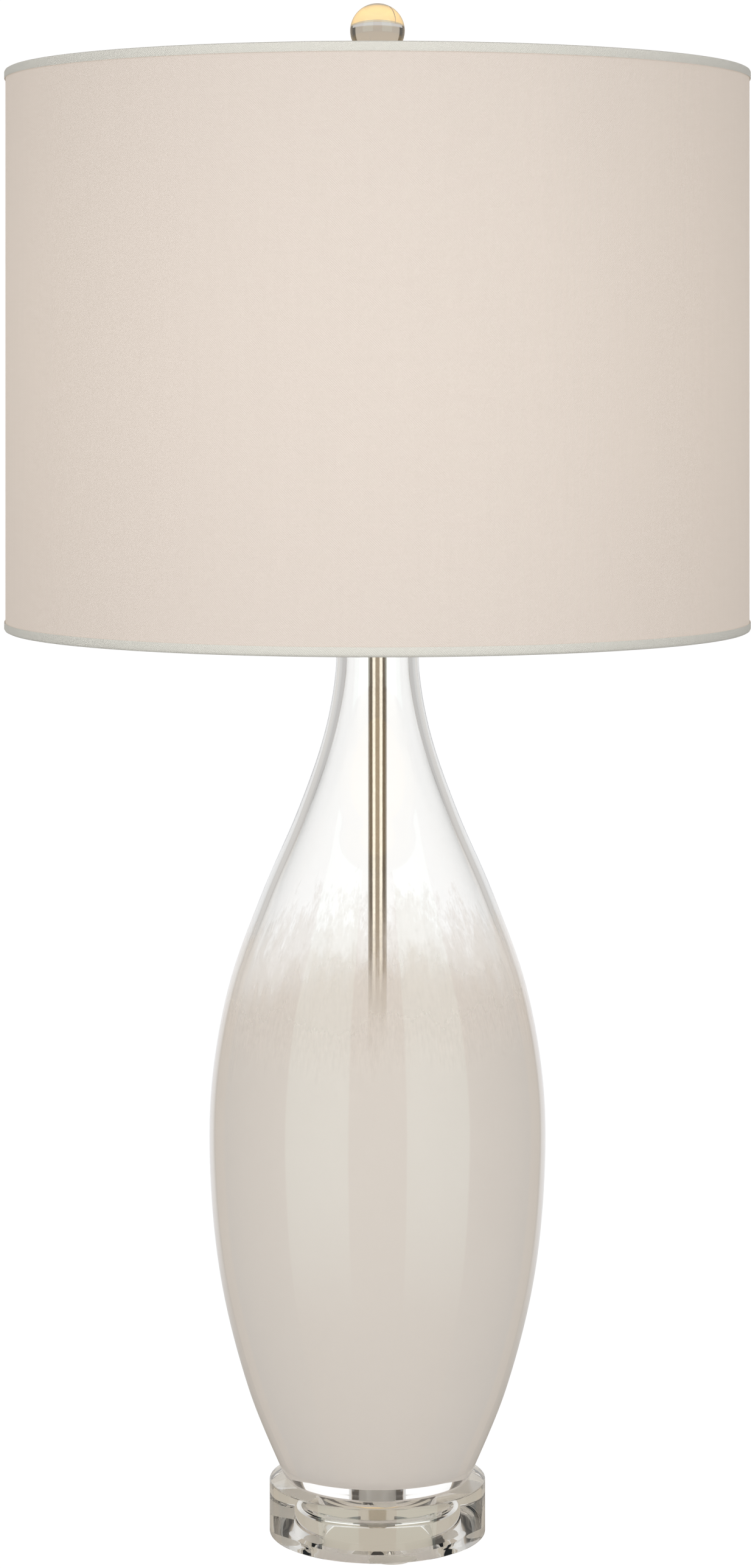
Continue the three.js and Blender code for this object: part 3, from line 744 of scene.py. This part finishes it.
def make_neck():
    foot, top = low("neck_gasket"), high("neck_gasket")
    profile = [(17.5, foot), (22, foot), (22, top), (17.5, top)]
    stand_for(turned("neck_gasket_fine", profile, 64, closed=True), "neck_gasket")

    skirt, crown = low("vase_cap"), high("vase_cap")
    plate_top = crown - 4.7
    plate = plate_top - 1.5
    profile = [
        (BORE, plate),
        (23.0, plate),
        (23.0, skirt + 0.4),
        (23.3, skirt),
        (24.0, skirt),
        *arc(24.0, skirt + 1.0, 0.9, -90, 90, 6)[1:],
        (24.1, skirt + 2.2),
        (24.3, skirt + 2.6),
        *arc(23.3, plate_top - 1.0, 1.0, 0, 90, 6),
        (19.0, plate_top + 0.35),
        (14.0, plate_top + 1.5),
        (11.2, plate_top + 3.2),
        (10.0, crown),
        (BORE, crown),
    ]
    stand_for(turned("vase_cap_fine", profile, 96, closed=True), "vase_cap")

    foot, top = low("neck_spacer"), high("neck_spacer")
    middle = (foot + top) / 2
    profile = [
        (BORE, foot),
        (9.6, foot),
        *arc(9.2, foot + 1.25, 0.8, -60, 60, 6),
        (8.4, foot + 2.9),
        *[(7.5 + 0.9 * abs(k / 5) ** 1.6, middle + k * 1.08) for k in range(-5, 6)],
        (8.4, top - 2.9),
        *arc(9.2, top - 1.25, 0.8, -60, 60, 6),
        (9.6, top),
        (BORE, top),
    ]
    stand_for(turned("neck_spacer_fine", profile, 96, closed=True), "neck_spacer")


# Corners of a strip's section with eased edges: shares of half its thickness and half its width.
EASED_HALF = ((1, 0.92), (1, -0.92), (0.75, -1), (-0.75, -1))
EASED_SECTION = EASED_HALF + tuple((-thick, -wide) for thick, wide in EASED_HALF)


def make_saddle():
    """The harp's saddle: a bent strip with narrow tongues, with fine bends and eased edges."""
    foot = low("harp_saddle")
    half, thick, bend, tongue_top = 28.8, 1.6, 6.8, 19.9
    tongue = (8.2, 10.5, tongue_top - 2.5, tongue_top - 0.9, tongue_top)
    middle_line = [(0.0, thick / 2)]
    middle_line += arc(half - bend, bend, bend - thick / 2, -90, 0, 10)
    middle_line += [(half - thick / 2, z) for z in tongue]
    widths = [6.0] * (len(middle_line) - 4) + [2.5, 2.5, 2.2, 1.4]
    bm = bmesh.new()
    rows = []
    count = len(middle_line)
    for side in (-1, 1):
        order = range(count - 1, 0, -1) if side < 0 else range(count)
        for i in order:
            x, z = middle_line[i]
            before, after = middle_line[max(i - 1, 0)], middle_line[min(i + 1, count - 1)]
            tangent = Vector((after[0] - before[0], after[1] - before[1])).normalized()
            normal = Vector((-tangent.y, tangent.x)) * thick / 2
            row = []
            for share, width in EASED_SECTION:
                px = side * (x + normal.x * share)
                pz = z + normal.y * share
                row.append(bm.verts.new((px * MM, width * widths[i] * MM, (pz + foot) * MM)))
            rows.append(row)
    saddle = skinned(bm, "harp_saddle_fine", rows, angle=25)
    boolean(saddle, rod("drill", BORE, foot - 3, foot + 5), "DIFFERENCE")
    stand_for(saddle, "harp_saddle")


# ---- Socket and bulb --------------------------------------------------------


def make_socket():
    foot = low("socket_cap")
    profile = [
        (BORE, foot),
        (7.2, foot),
        (7.5, foot + 0.4),
        (7.5, foot + 5.2),
        *arc(9.0, foot + 5.0, 1.5, 180, 120, 4),
        (13.0, foot + 8.2),
        *arc(16.2, foot + 12.2, 2.4, -50, 0, 6),
        (18.6, foot + 19.6),
        *arc(18.3, foot + 20.3, 0.5, -60, 90, 6),
        (17.6, foot + 20.8),
        (17.6, foot + 14.4),
        (12.6, foot + 9.8),
        (BORE, foot + 7.2),
    ]
    stand_for(turned("socket_cap_fine", profile, 96, closed=True), "socket_cap")

    shell_low, shell_high = low("socket_shell"), high("socket_shell")
    profile = [
        (16.3, shell_low),
        (17.1, shell_low),
        (17.1, shell_low + 9),
        *arc(17.1, shell_low + 10, 0.45, -90, 90, 4),
        (17.1, shell_low + 11),
        (17.1, shell_high - 4),
        *arc(17.1, shell_high - 2.2, 0.65, -90, 90, 6),
        (17.1, shell_high - 0.3),
        (16.8, shell_high),
        (16.3, shell_high),
    ]
    shell = turned("socket_shell_fine", profile, 96, closed=True)
    knob_level = (high("switch_knob") + low("switch_knob")) / 2
    slot, reach, inner_end = 3, 24, 6
    slot_end = place(rod("slot_end", slot, 0, reach, 32), (90, 0, 0), (0, -inner_end, knob_level))
    boolean(shell, slot_end, "DIFFERENCE")
    bpy.ops.mesh.primitive_cube_add(size=1)
    gate = bpy.context.object
    height = knob_level - shell_low + 2
    middle = Vector((0, -inner_end - reach / 2, knob_level - height / 2))
    gate.data.transform(Matrix.Diagonal((2 * slot * MM, reach * MM, height * MM, 1)))
    gate.data.transform(Matrix.Translation(middle * MM))
    boolean(shell, gate, "DIFFERENCE")
    stand_for(shell, "socket_shell")


RIBS = 18
RIB_DEPTH = 0.28


def make_knob():
    """A turn knob with fine ribs round its grip."""
    front = -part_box("switch_knob")[0].y / MM
    back = -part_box("switch_knob")[1].y / MM
    level = (high("switch_knob") + low("switch_knob")) / 2
    length = front - back

    def ribs(turn, radius, z):
        if radius > 5.5 and 1.4 < z < length - 4.6:
            return -RIB_DEPTH * (0.5 - 0.5 * math.cos(RIBS * turn))
        return 0.0

    profile = [
        (0, 0.0),
        (4.4, 0.0),
        (5.3, 0.35),
        (5.85, 1.2),
        (6.0, 1.6),
        (6.0, length - 5.0),
        (5.7, length - 4.4),
        (4.6, length - 3.4),
        (4.1, length - 2.6),
        (4.0, length),
        (1.9, length),
        (1.9, 3.3),
        (0, 3.3),
    ]
    knob = turned("switch_knob_fine", profile, 144, ripple=ribs)
    place(knob, (-90, 0, 0), (0, -front, level))
    stand_for(knob, "switch_knob")


def thread_profile(radius, depth, start, end, pitch):
    """A row of rounded ridges, for the look of a rolled thread."""
    count = round((end - start) / pitch)
    step = (end - start) / count
    points = []
    for i in range(count):
        for share, drop in ((0.0, depth), (0.25, depth * 0.5), (0.5, 0.0), (0.75, depth * 0.5)):
            points.append((radius - drop, start + (i + share) * step))
    return points + [(radius - depth, end)]


def make_bulb():
    cap_low, cap_high = low("bulb_screw_cap"), high("bulb_screw_cap")
    profile = [
        (0, cap_low),
        (12.2, cap_low),
        *thread_profile(12.9, 0.7, cap_low + 1, cap_high - 3.4, 3.6),
        (12.7, cap_high - 2.4),
        (12.9, cap_high - 2.0),
        (12.9, cap_high),
        (0, cap_high),
    ]
    stand_for(turned("bulb_screw_cap_fine", profile, 96), "bulb_screw_cap")

    foot, top = low("bulb_insulator"), high("bulb_insulator")
    profile = [(0, foot), (5.4, foot), (6.2, foot + 0.2), (12.2, top), (0, top)]
    stand_for(turned("bulb_insulator_fine", profile, 64), "bulb_insulator")

    neck_low, crown = low("bulb_envelope"), high("bulb_envelope")
    globe, glass = 30.0, 1.0
    centre = crown - globe
    neck = ((13.4, neck_low), (13.9, neck_low + 16))
    outside = cubic(*neck, (globe, centre - 22), (globe, centre), 24)
    inside = [(r - glass, z) for r, z in outside]
    profile = arc(0, centre, globe - glass, 90, 0, 16)[:-1] + inside[::-1] + outside
    profile += arc(0, centre, globe, 0, 90, 16)[1:]
    stand_for(turned("bulb_envelope_fine", profile, 96), "bulb_envelope")


# ---- Harp -------------------------------------------------------------------


def make_harp():
    saddle = low("harp_saddle")
    foot = saddle + 8.9
    shoulder, widest = foot + 34, foot + 133
    boss_top = high("harp_wire")
    top = boss_top - 2
    leg, belly = 25, 57
    right = [(leg, foot), (leg, foot + 16)]
    right += cubic((leg, shoulder), (leg, shoulder + 26), (belly, widest - 50), (belly, widest), 26)
    right += cubic((belly, widest), (belly, widest + 54), (42, top), (10, top), 26)[1:]
    left = [(-x, z) for x, z in right[::-1]]
    wire = swept("harp_wire_fine", [(x, 0, z) for x, z in right + left], 1.9, 20)
    profile = [
        (0, boss_top - 4),
        (6.0, boss_top - 4),
        (6.5, boss_top - 3.5),
        (6.5, boss_top - 0.5),
        (6.0, boss_top),
        (0, boss_top),
    ]
    boolean(wire, turned("boss", profile, 48), "UNION")
    boolean(wire, rod("drill", 2.2, boss_top - 8, boss_top + 4, 32), "DIFFERENCE")
    stand_for(wire, "harp_wire")

    for name, side in (("left", -1), ("right", 1)):
        node = f"ferrule_{name}"
        start, end = low(node), high(node)
        profile = [
            (4.15, start),
            (4.7, start),
            (5.0, start + 0.4),
            (5.0, start + 1.6),
            (4.7, start + 2.0),
            (4.7, end - 2.0),
            (5.0, end - 1.6),
            (5.0, end - 0.4),
            (4.7, end),
            (4.15, end),
        ]
        ferrule = turned(f"{node}_fine", profile, 64, closed=True)
        place(ferrule, at=(side * 25.95, 0, 0))
        stand_for(ferrule, node)

    seat = high("harp_stud") - 10.65
    foot = low("harp_stud")
    profile = [
        (0, foot),
        (2.5, foot),
        (3.0, foot + 0.6),
        (3.0, foot + 2),
        (1.9, foot + 2),
        (1.9, seat - 2.25),
        (6.2, seat - 2.25),
        (6.5, seat - 1.9),
        (6.5, seat - 0.35),
        (6.2, seat),
        (3.1, seat),
        *thread_profile(3.1, 0.3, seat + 0.4, seat + 9.4, 0.9),
        (2.3, seat + 10.65),
        (0, seat + 10.65),
    ]
    stand_for(turned("harp_stud_fine", profile, 48), "harp_stud")


# ---- Shade ------------------------------------------------------------------

SHADE_R = 202.9
SKIN = 0.7  # thickness of the cloth, and of the liner
SKIN_GAP = 0.3
SEAM = 8.0  # width of the lap
SEAM_RISE = 0.45
RING_R = 199.4
FRAME_WIRE = 1.6
SPIDER_FIRST = 119  # azimuth of the first arm from +X, in degrees
shade_low, shade_high = low("bottom_hem"), high("top_hem")
skin_low, skin_high = low("shade_cloth"), high("shade_cloth")


def make_drum():
    """The cloth, laminated to its liner, with the lapped seam of its ends down the back."""

    def seam(turn, radius, z):
        if radius < SHADE_R - 0.1:
            return 0.0
        offset = abs((turn - math.pi) * SHADE_R) - SEAM / 2
        return SEAM_RISE / (1 + math.exp(min(max(offset * 2.2, -40), 40)))

    levels = 24
    heights = [skin_low + (skin_high - skin_low) * i / levels for i in range(levels + 1)]

    def tube(outer):
        return [(outer - SKIN, z) for z in reversed(heights)] + [(outer, z) for z in heights]

    profile = tube(SHADE_R)
    skin = turned("shade_cloth_fine", profile, 720, closed=True, ripple=seam)
    stand_for(skin, "shade_cloth")

    profile = tube(SHADE_R - SKIN - SKIN_GAP)
    stand_for(turned("shade_liner_fine", profile, 240, closed=True), "shade_liner")


def make_hem(node, edge, way):
    """A rolled hem: a soft outer band, the roll over the ring and the turn-in on the inside.
    way is 1 for the top rim, which gets notches for the spider's arms, and -1 for the bottom."""
    outer = SHADE_R + 0.7

    def at(depth):
        return edge - way * depth

    profile = [
        (197.2, at(11.0)),
        (197.6, at(10.8)),
        (197.6, at(1.4)),
        (198.4, at(0.6)),
        (202.2, at(0.6)),
        (outer - 0.4, at(1.4)),
        (outer - 0.45, at(5.0)),
        (outer - 0.1, at(5.15)),
        (outer, at(4.6)),
        (outer, at(1.6)),
        (outer - 0.5, at(0.6)),
        (outer - 1.5, at(0.1)),
        (201.0, at(0.0)),
        (198.8, at(0.0)),
        (197.7, at(0.5)),
        (197.2, at(1.6)),
    ]
    piece = turned(f"{node}_fine", profile, 360, closed=True, angle=50)
    if way > 0:
        level = (low("spider_arm_1") + high("spider_arm_1")) / 2
        for i in range(3):
            notch = swept("notch", [(194, 0, level), (201, 0, level)], 2.2, 16)
            place(notch, (0, 0, SPIDER_FIRST + 120 * i))
            boolean(piece, notch, "DIFFERENCE")
    stand_for(piece, node)


def make_frame():
    for node in ("top_ring", "bottom_ring"):
        level = (low(node) + high(node)) / 2
        turns = [TURN * i / 192 for i in range(192)]
        points = [(RING_R * math.cos(t), RING_R * math.sin(t), level) for t in turns]
        stand_for(swept(f"{node}_fine", points, FRAME_WIRE, 12, closed=True), node)
    foot, top = low("spider_hub"), high("spider_hub")
    profile = [
        (3.6, foot),
        (13.6, foot),
        (14.0, foot + 0.4),
        (14.0, top - 0.4),
        (13.6, top),
        (3.6, top),
    ]
    stand_for(turned("spider_hub_fine", profile, 96, closed=True), "spider_hub")
    for i in range(3):
        node = f"spider_arm_{i + 1}"
        level = (low(node) + high(node)) / 2
        points = [(x, 0, level) for x in (14.3, 15.0, 196.8, 197.5)]
        arm = swept(f"{node}_fine", points, FRAME_WIRE, 20)
        place(arm, (0, 0, SPIDER_FIRST + 120 * i))
        stand_for(arm, node)


# ---- Finial -----------------------------------------------------------------


def make_finial():
    foot = low("finial_base")
    ball_low, ball_high = low("finial_ball"), high("finial_ball")
    centre = (ball_low + ball_high) / 2
    ball, seat, rim = 15, 15.3, 8
    cup = math.degrees(math.asin(rim / seat))
    edge = centre - math.sqrt(seat**2 - rim**2)
    profile = [
        (0, foot + 8.85),
        (3.5, foot + 8.85),
        (3.5, foot + 0.3),
        (3.8, foot),
        (6.2, foot),
        (6.5, foot + 0.3),
        (6.5, foot + 1.3),
        (6.1, foot + 1.8),
        (5.0, foot + 2.6),
        (4.65, foot + 3.6),
        (4.6, foot + 5.2),
        (5.0, foot + 6.8),
        (6.4, edge - 2.2),
        (7.7, edge - 0.9),
        (8.0, edge - 0.3),
        *arc(0, centre, seat, cup - 90, -90, 10),
    ]
    stand_for(turned("finial_base_fine", profile, 96), "finial_base")
    stand_for(turned("finial_ball_fine", arc(0, centre, ball, -90, 90, 48), 96), "finial_ball")


make_plinth()
make_feet()
make_cord_bush()
make_vessel()
make_coat()
make_pipe()
make_heel_bush()
make_neck()
make_saddle()
make_socket()
make_knob()
make_bulb()
make_harp()
make_drum()
make_hem("top_hem", shade_high, 1)
make_hem("bottom_hem", shade_low, -1)
make_frame()
make_finial()

# The pieces that no finer one stands for keep their own shape.
for node_name, node in frame["nodes"].items():
    if not node.hide_render:
        node.data.materials.clear()
        node.data.materials.append(MATERIALS[SLOT_OF[node_name]])


# ---- Floor, light and world -------------------------------------------------

DEGREE = math.pi / 180
SEEN_WHITE = (1.04, 1.04, 1.04)  # floor, backdrop and surroundings, as the camera sees them
LEFT_LIGHT = (2.74, 2.71, 2.66)  # radiance of the two tall soft lights, for what they light
RIGHT_LIGHT = (2.50, 2.47, 2.44)
LIGHT_FOR_GLOSS = (1.22, 1.60, 1.50)  # the same lights, as polished outsides show them
LIGHT_THROUGH = (1.62, 1.58, 1.46)  # and as they show through clear pieces
LIGHT_THROUGH_HIGH = (0.84, 0.81, 0.76)  # and by way of a reflection inside, from higher up
LIGHT_FOOT = (-0.62, -0.20)  # upward part of a direction, where the two lights come in
LIGHT_TOP = (0.62, 0.72)  # where they go out again
CEILING = (0.5, 0.9)  # where the room turns into its ceiling
HIGH_INNER = (0.14, 0.2)  # where the high room takes over, for reflections inside clear pieces
HIGH_CLEAR = (-0.06, -0.03)  # and for what is seen straight through them

FLOOR_RADIUS = 0.6
FLOOR_SHADE = (0.36, 0.35, 0.33)
FLOOR_BEIGE = (0.53, 0.48, 0.40)

BACKDROP_RADIUS = 0.95
BACKDROP_HALF_WIDTH = 39  # degrees
BACKDROP_FOOT, BACKDROP_TOP = -0.6, 0.68
BACKDROP_STEPS = 40
BACKDROP_SHADE = (0.36, 0.35, 0.34)
BACKDROP_GLOSS = (0.95, 0.96, 0.98)
BACKDROP_GLOSS_DIM = (0.34, 0.31, 0.27)
BACKDROP_GLOSS_SIDES = (0.50, 0.60)  # metres from the middle, where its gloss fades out
BACKDROP_GLOSS_FOOT = (-0.35, 0.05)  # heights between which its gloss comes in
BACKDROP_CLEAR = (1.12, 1.12, 1.12)
BACKDROP_INNER = (0.82, 0.815, 0.80)
BACKDROP_INNER_SIDE = (0.64, 0.63, 0.615)
BACKDROP_INNER_SIDES = (0.05, 0.62)

# The rooms, as surroundings() takes them: three azimuths in degrees, where the lights start, where
# they end and where the rear starts, and the colours in front, beside, behind and above.
GREY = (0.50, 0.44, 0.37)
DARK = (0.07, 0.062, 0.054)
FRONT = (0.42, 0.38, 0.34)
WARM = (0.50, 0.42, 0.325)
SOFT_ROOM = ((0.34, 0.33, 0.31), (0.12, 0.115, 0.11), (0.22, 0.21, 0.20), (0.42, 0.41, 0.40))
ROOM_FOR_MATT = ((19, 62, 126), *SOFT_ROOM)
ROOM_FOR_GLOSS = ((19, 64, 126), FRONT, (0.32, 0.35, 0.36), GREY, (0.6, 0.57, 0.53))
ROOM_INNER = ((25, 62, 116), WARM, (0.17, 0.14, 0.11), (0.56, 0.545, 0.53), GREY)
ROOM_INNER_HIGH = ((25, 49, 134), WARM, DARK, GREY, GREY)
ROOM_CLEAR = ((19, 64, 120), FRONT, DARK, (0.62, 0.605, 0.59), GREY)
ROOM_CLEAR_HIGH = ((19, 64, 134), FRONT, DARK, GREY, GREY)


def by_path(n, camera, matt, gloss, clear, inner):
    """A colour for each way that light reaches the eye: straight, off matt surfaces, off a polished
    outside, through clear pieces, and through clear pieces by way of a reflection inside them."""
    path = n.add("LightPath").outputs
    mirrored = n.math("GREATER_THAN", path["Glossy Depth"], 0.5)
    through = n.math("GREATER_THAN", path["Transmission Depth"], 0.5)
    scattered = n.math("GREATER_THAN", path["Diffuse Depth"], 0.5)
    outside = n.mix(mirrored, matt, gloss)
    inside = n.mix(mirrored, clear, inner)
    colour = n.mix(scattered, n.mix(through, outside, inside), matt)
    return n.mix(path["Is Camera Ray"], colour, camera)


def outside_gloss(n):
    """1 where light came straight off a polished outside, without passing a clear piece."""
    path = n.add("LightPath").outputs
    mirrored = n.math("GREATER_THAN", path["Glossy Depth"], 0.5)
    direct = n.math("LESS_THAN", path["Transmission Depth"], 0.5)
    unscattered = n.math("LESS_THAN", path["Diffuse Depth"], 0.5)
    return n.times(mirrored, n.times(direct, unscattered))


def stage_material(piece, colours, backdrop=False):
    """Gives a stage piece the colours that by_path takes. From behind it can't be seen at all.
    Polished outsides show less of the backdrop at its sides and foot, and nothing of the floor.
    Reflections inside clear pieces show the backdrop darker towards its sides."""
    camera, matt, gloss, clear, inner = colours
    material = bpy.data.materials.new(piece.name)
    material.use_nodes = True
    material.cycles.emission_sampling = "NONE"
    n = Nodes(material.node_tree)
    tone = n.linear(n.noise(n.object_point(), 3.0, 2.0), 0, 1, 0.99, 1.01)
    hidden = n.add("NewGeometry").outputs["Backfacing"]
    if backdrop:
        x, _, z = n.split(n.object_point())
        sideways = n.math("ABSOLUTE", x)
        amid = n.smooth(sideways, *BACKDROP_GLOSS_SIDES, 1.0, 0.0)
        shown = n.times(amid, n.smooth(z, *BACKDROP_GLOSS_FOOT))
        gloss = n.mix(shown, BACKDROP_GLOSS_DIM, gloss)
        inner = n.mix(n.smooth(sideways, *BACKDROP_INNER_SIDES), inner, BACKDROP_INNER_SIDE)
    else:
        hidden = n.math("MAXIMUM", hidden, outside_gloss(n))
    colour = by_path(n, camera, matt, gloss, clear, inner)
    glow = n.add("Emission", {"Color": colour, "Strength": tone})
    mix = n.add("MixShader", {0: hidden})
    n.tree.links.new(glow.outputs[0], mix.inputs[1])
    n.tree.links.new(n.add("BsdfTransparent").outputs[0], mix.inputs[2])
    output = n.add("OutputMaterial")
    n.tree.links.new(mix.outputs[0], output.inputs["Surface"])
    piece.data.materials.append(material)


def make_floor():
    bm = bmesh.new()
    bmesh.ops.create_circle(bm, cap_ends=True, segments=96, radius=FLOOR_RADIUS)
    floor = piece_of(bm, "floor")
    stage_material(floor, (SEEN_WHITE, FLOOR_SHADE, FLOOR_BEIGE, FLOOR_BEIGE, FLOOR_BEIGE))


def make_backdrop():
    """A curved white sheet behind the lamp, lower than the finial."""
    bm = bmesh.new()
    rows = []
    for i in range(BACKDROP_STEPS + 1):
        share = 2 * BACKDROP_HALF_WIDTH * i / BACKDROP_STEPS
        angle = (90 - BACKDROP_HALF_WIDTH + share) * DEGREE
        x, y = BACKDROP_RADIUS * math.cos(angle), BACKDROP_RADIUS * math.sin(angle)
        rows.append([bm.verts.new((x, y, z)) for z in (BACKDROP_FOOT, BACKDROP_TOP)])
    for a, b in zip(rows, rows[1:]):
        bm.faces.new((b[0], a[0], a[1], b[1]))
    backdrop = piece_of(bm, "backdrop")
    colours = (SEEN_WHITE, BACKDROP_SHADE, BACKDROP_GLOSS, BACKDROP_CLEAR, BACKDROP_INNER)
    stage_material(backdrop, colours, backdrop=True)


def surroundings(n, side, z, light, edges, front, wing, rear, ceiling):
    """Two tall lights, one on each side, and what is in front, beside, behind and above. side is a
    direction's azimuth without its sign, in radians, and z is its upward part."""
    start_edge, end_edge, rear_edge = edges

    def beyond(edge, blur):
        return edge * DEGREE, (edge + blur) * DEGREE

    start = n.smooth(side, *beyond(start_edge, 1.5))
    end = n.smooth(side, *beyond(end_edge, 2), 1.0, 0.0)
    under = n.smooth(z, *LIGHT_FOOT)
    over = n.smooth(z, *LIGHT_TOP, 1.0, 0.0)
    lit = n.times(n.times(start, end), n.times(under, over))
    base = n.mix(n.smooth(side, *beyond(end_edge, 3)), front, wing)
    base = n.mix(n.smooth(side, *beyond(rear_edge, 5)), base, rear)
    base = n.mix(n.smooth(z, *CEILING), base, ceiling)
    return n.mix(lit, base, light)


def make_world():
    world = bpy.data.worlds.new("studio")
    bpy.context.scene.world = world
    world.use_nodes = True
    n = Nodes(world.node_tree)
    direction = n.add("TexCoord").outputs["Generated"]
    x, _, z = n.split(direction)
    side = n.math("ABSOLUTE", n.turn(direction))
    soft_lights = n.mix(n.linear(x, -0.3, 0.3), LEFT_LIGHT, RIGHT_LIGHT)
    matt = surroundings(n, side, z, soft_lights, *ROOM_FOR_MATT)
    gloss = surroundings(n, side, z, LIGHT_FOR_GLOSS, *ROOM_FOR_GLOSS)
    inner = surroundings(n, side, z, LIGHT_THROUGH, *ROOM_INNER)
    inner_high = surroundings(n, side, z, LIGHT_THROUGH_HIGH, *ROOM_INNER_HIGH)
    inner = n.mix(n.smooth(z, *HIGH_INNER), inner, inner_high)
    clear = surroundings(n, side, z, LIGHT_THROUGH, *ROOM_CLEAR)
    clear_high = surroundings(n, side, z, LIGHT_THROUGH, *ROOM_CLEAR_HIGH)
    clear = n.mix(n.smooth(z, *HIGH_CLEAR), clear, clear_high)
    seen = by_path(n, SEEN_WHITE, matt, gloss, clear, inner)
    shader = n.add("Background", {"Color": seen, "Strength": 1.0})
    output = n.add("OutputWorld")
    n.tree.links.new(shader.outputs[0], output.inputs["Surface"])


make_floor()
make_backdrop()
make_world()

scene = bpy.context.scene
scene.view_settings.view_transform = "Standard"
scene.view_settings.look = "None"
scene.cycles.max_bounces = 18
scene.cycles.diffuse_bounces = 4
scene.cycles.glossy_bounces = 8
scene.cycles.transmission_bounces = 18
scene.cycles.transparent_max_bounces = 24
scene.cycles.sample_clamp_indirect = 8.0
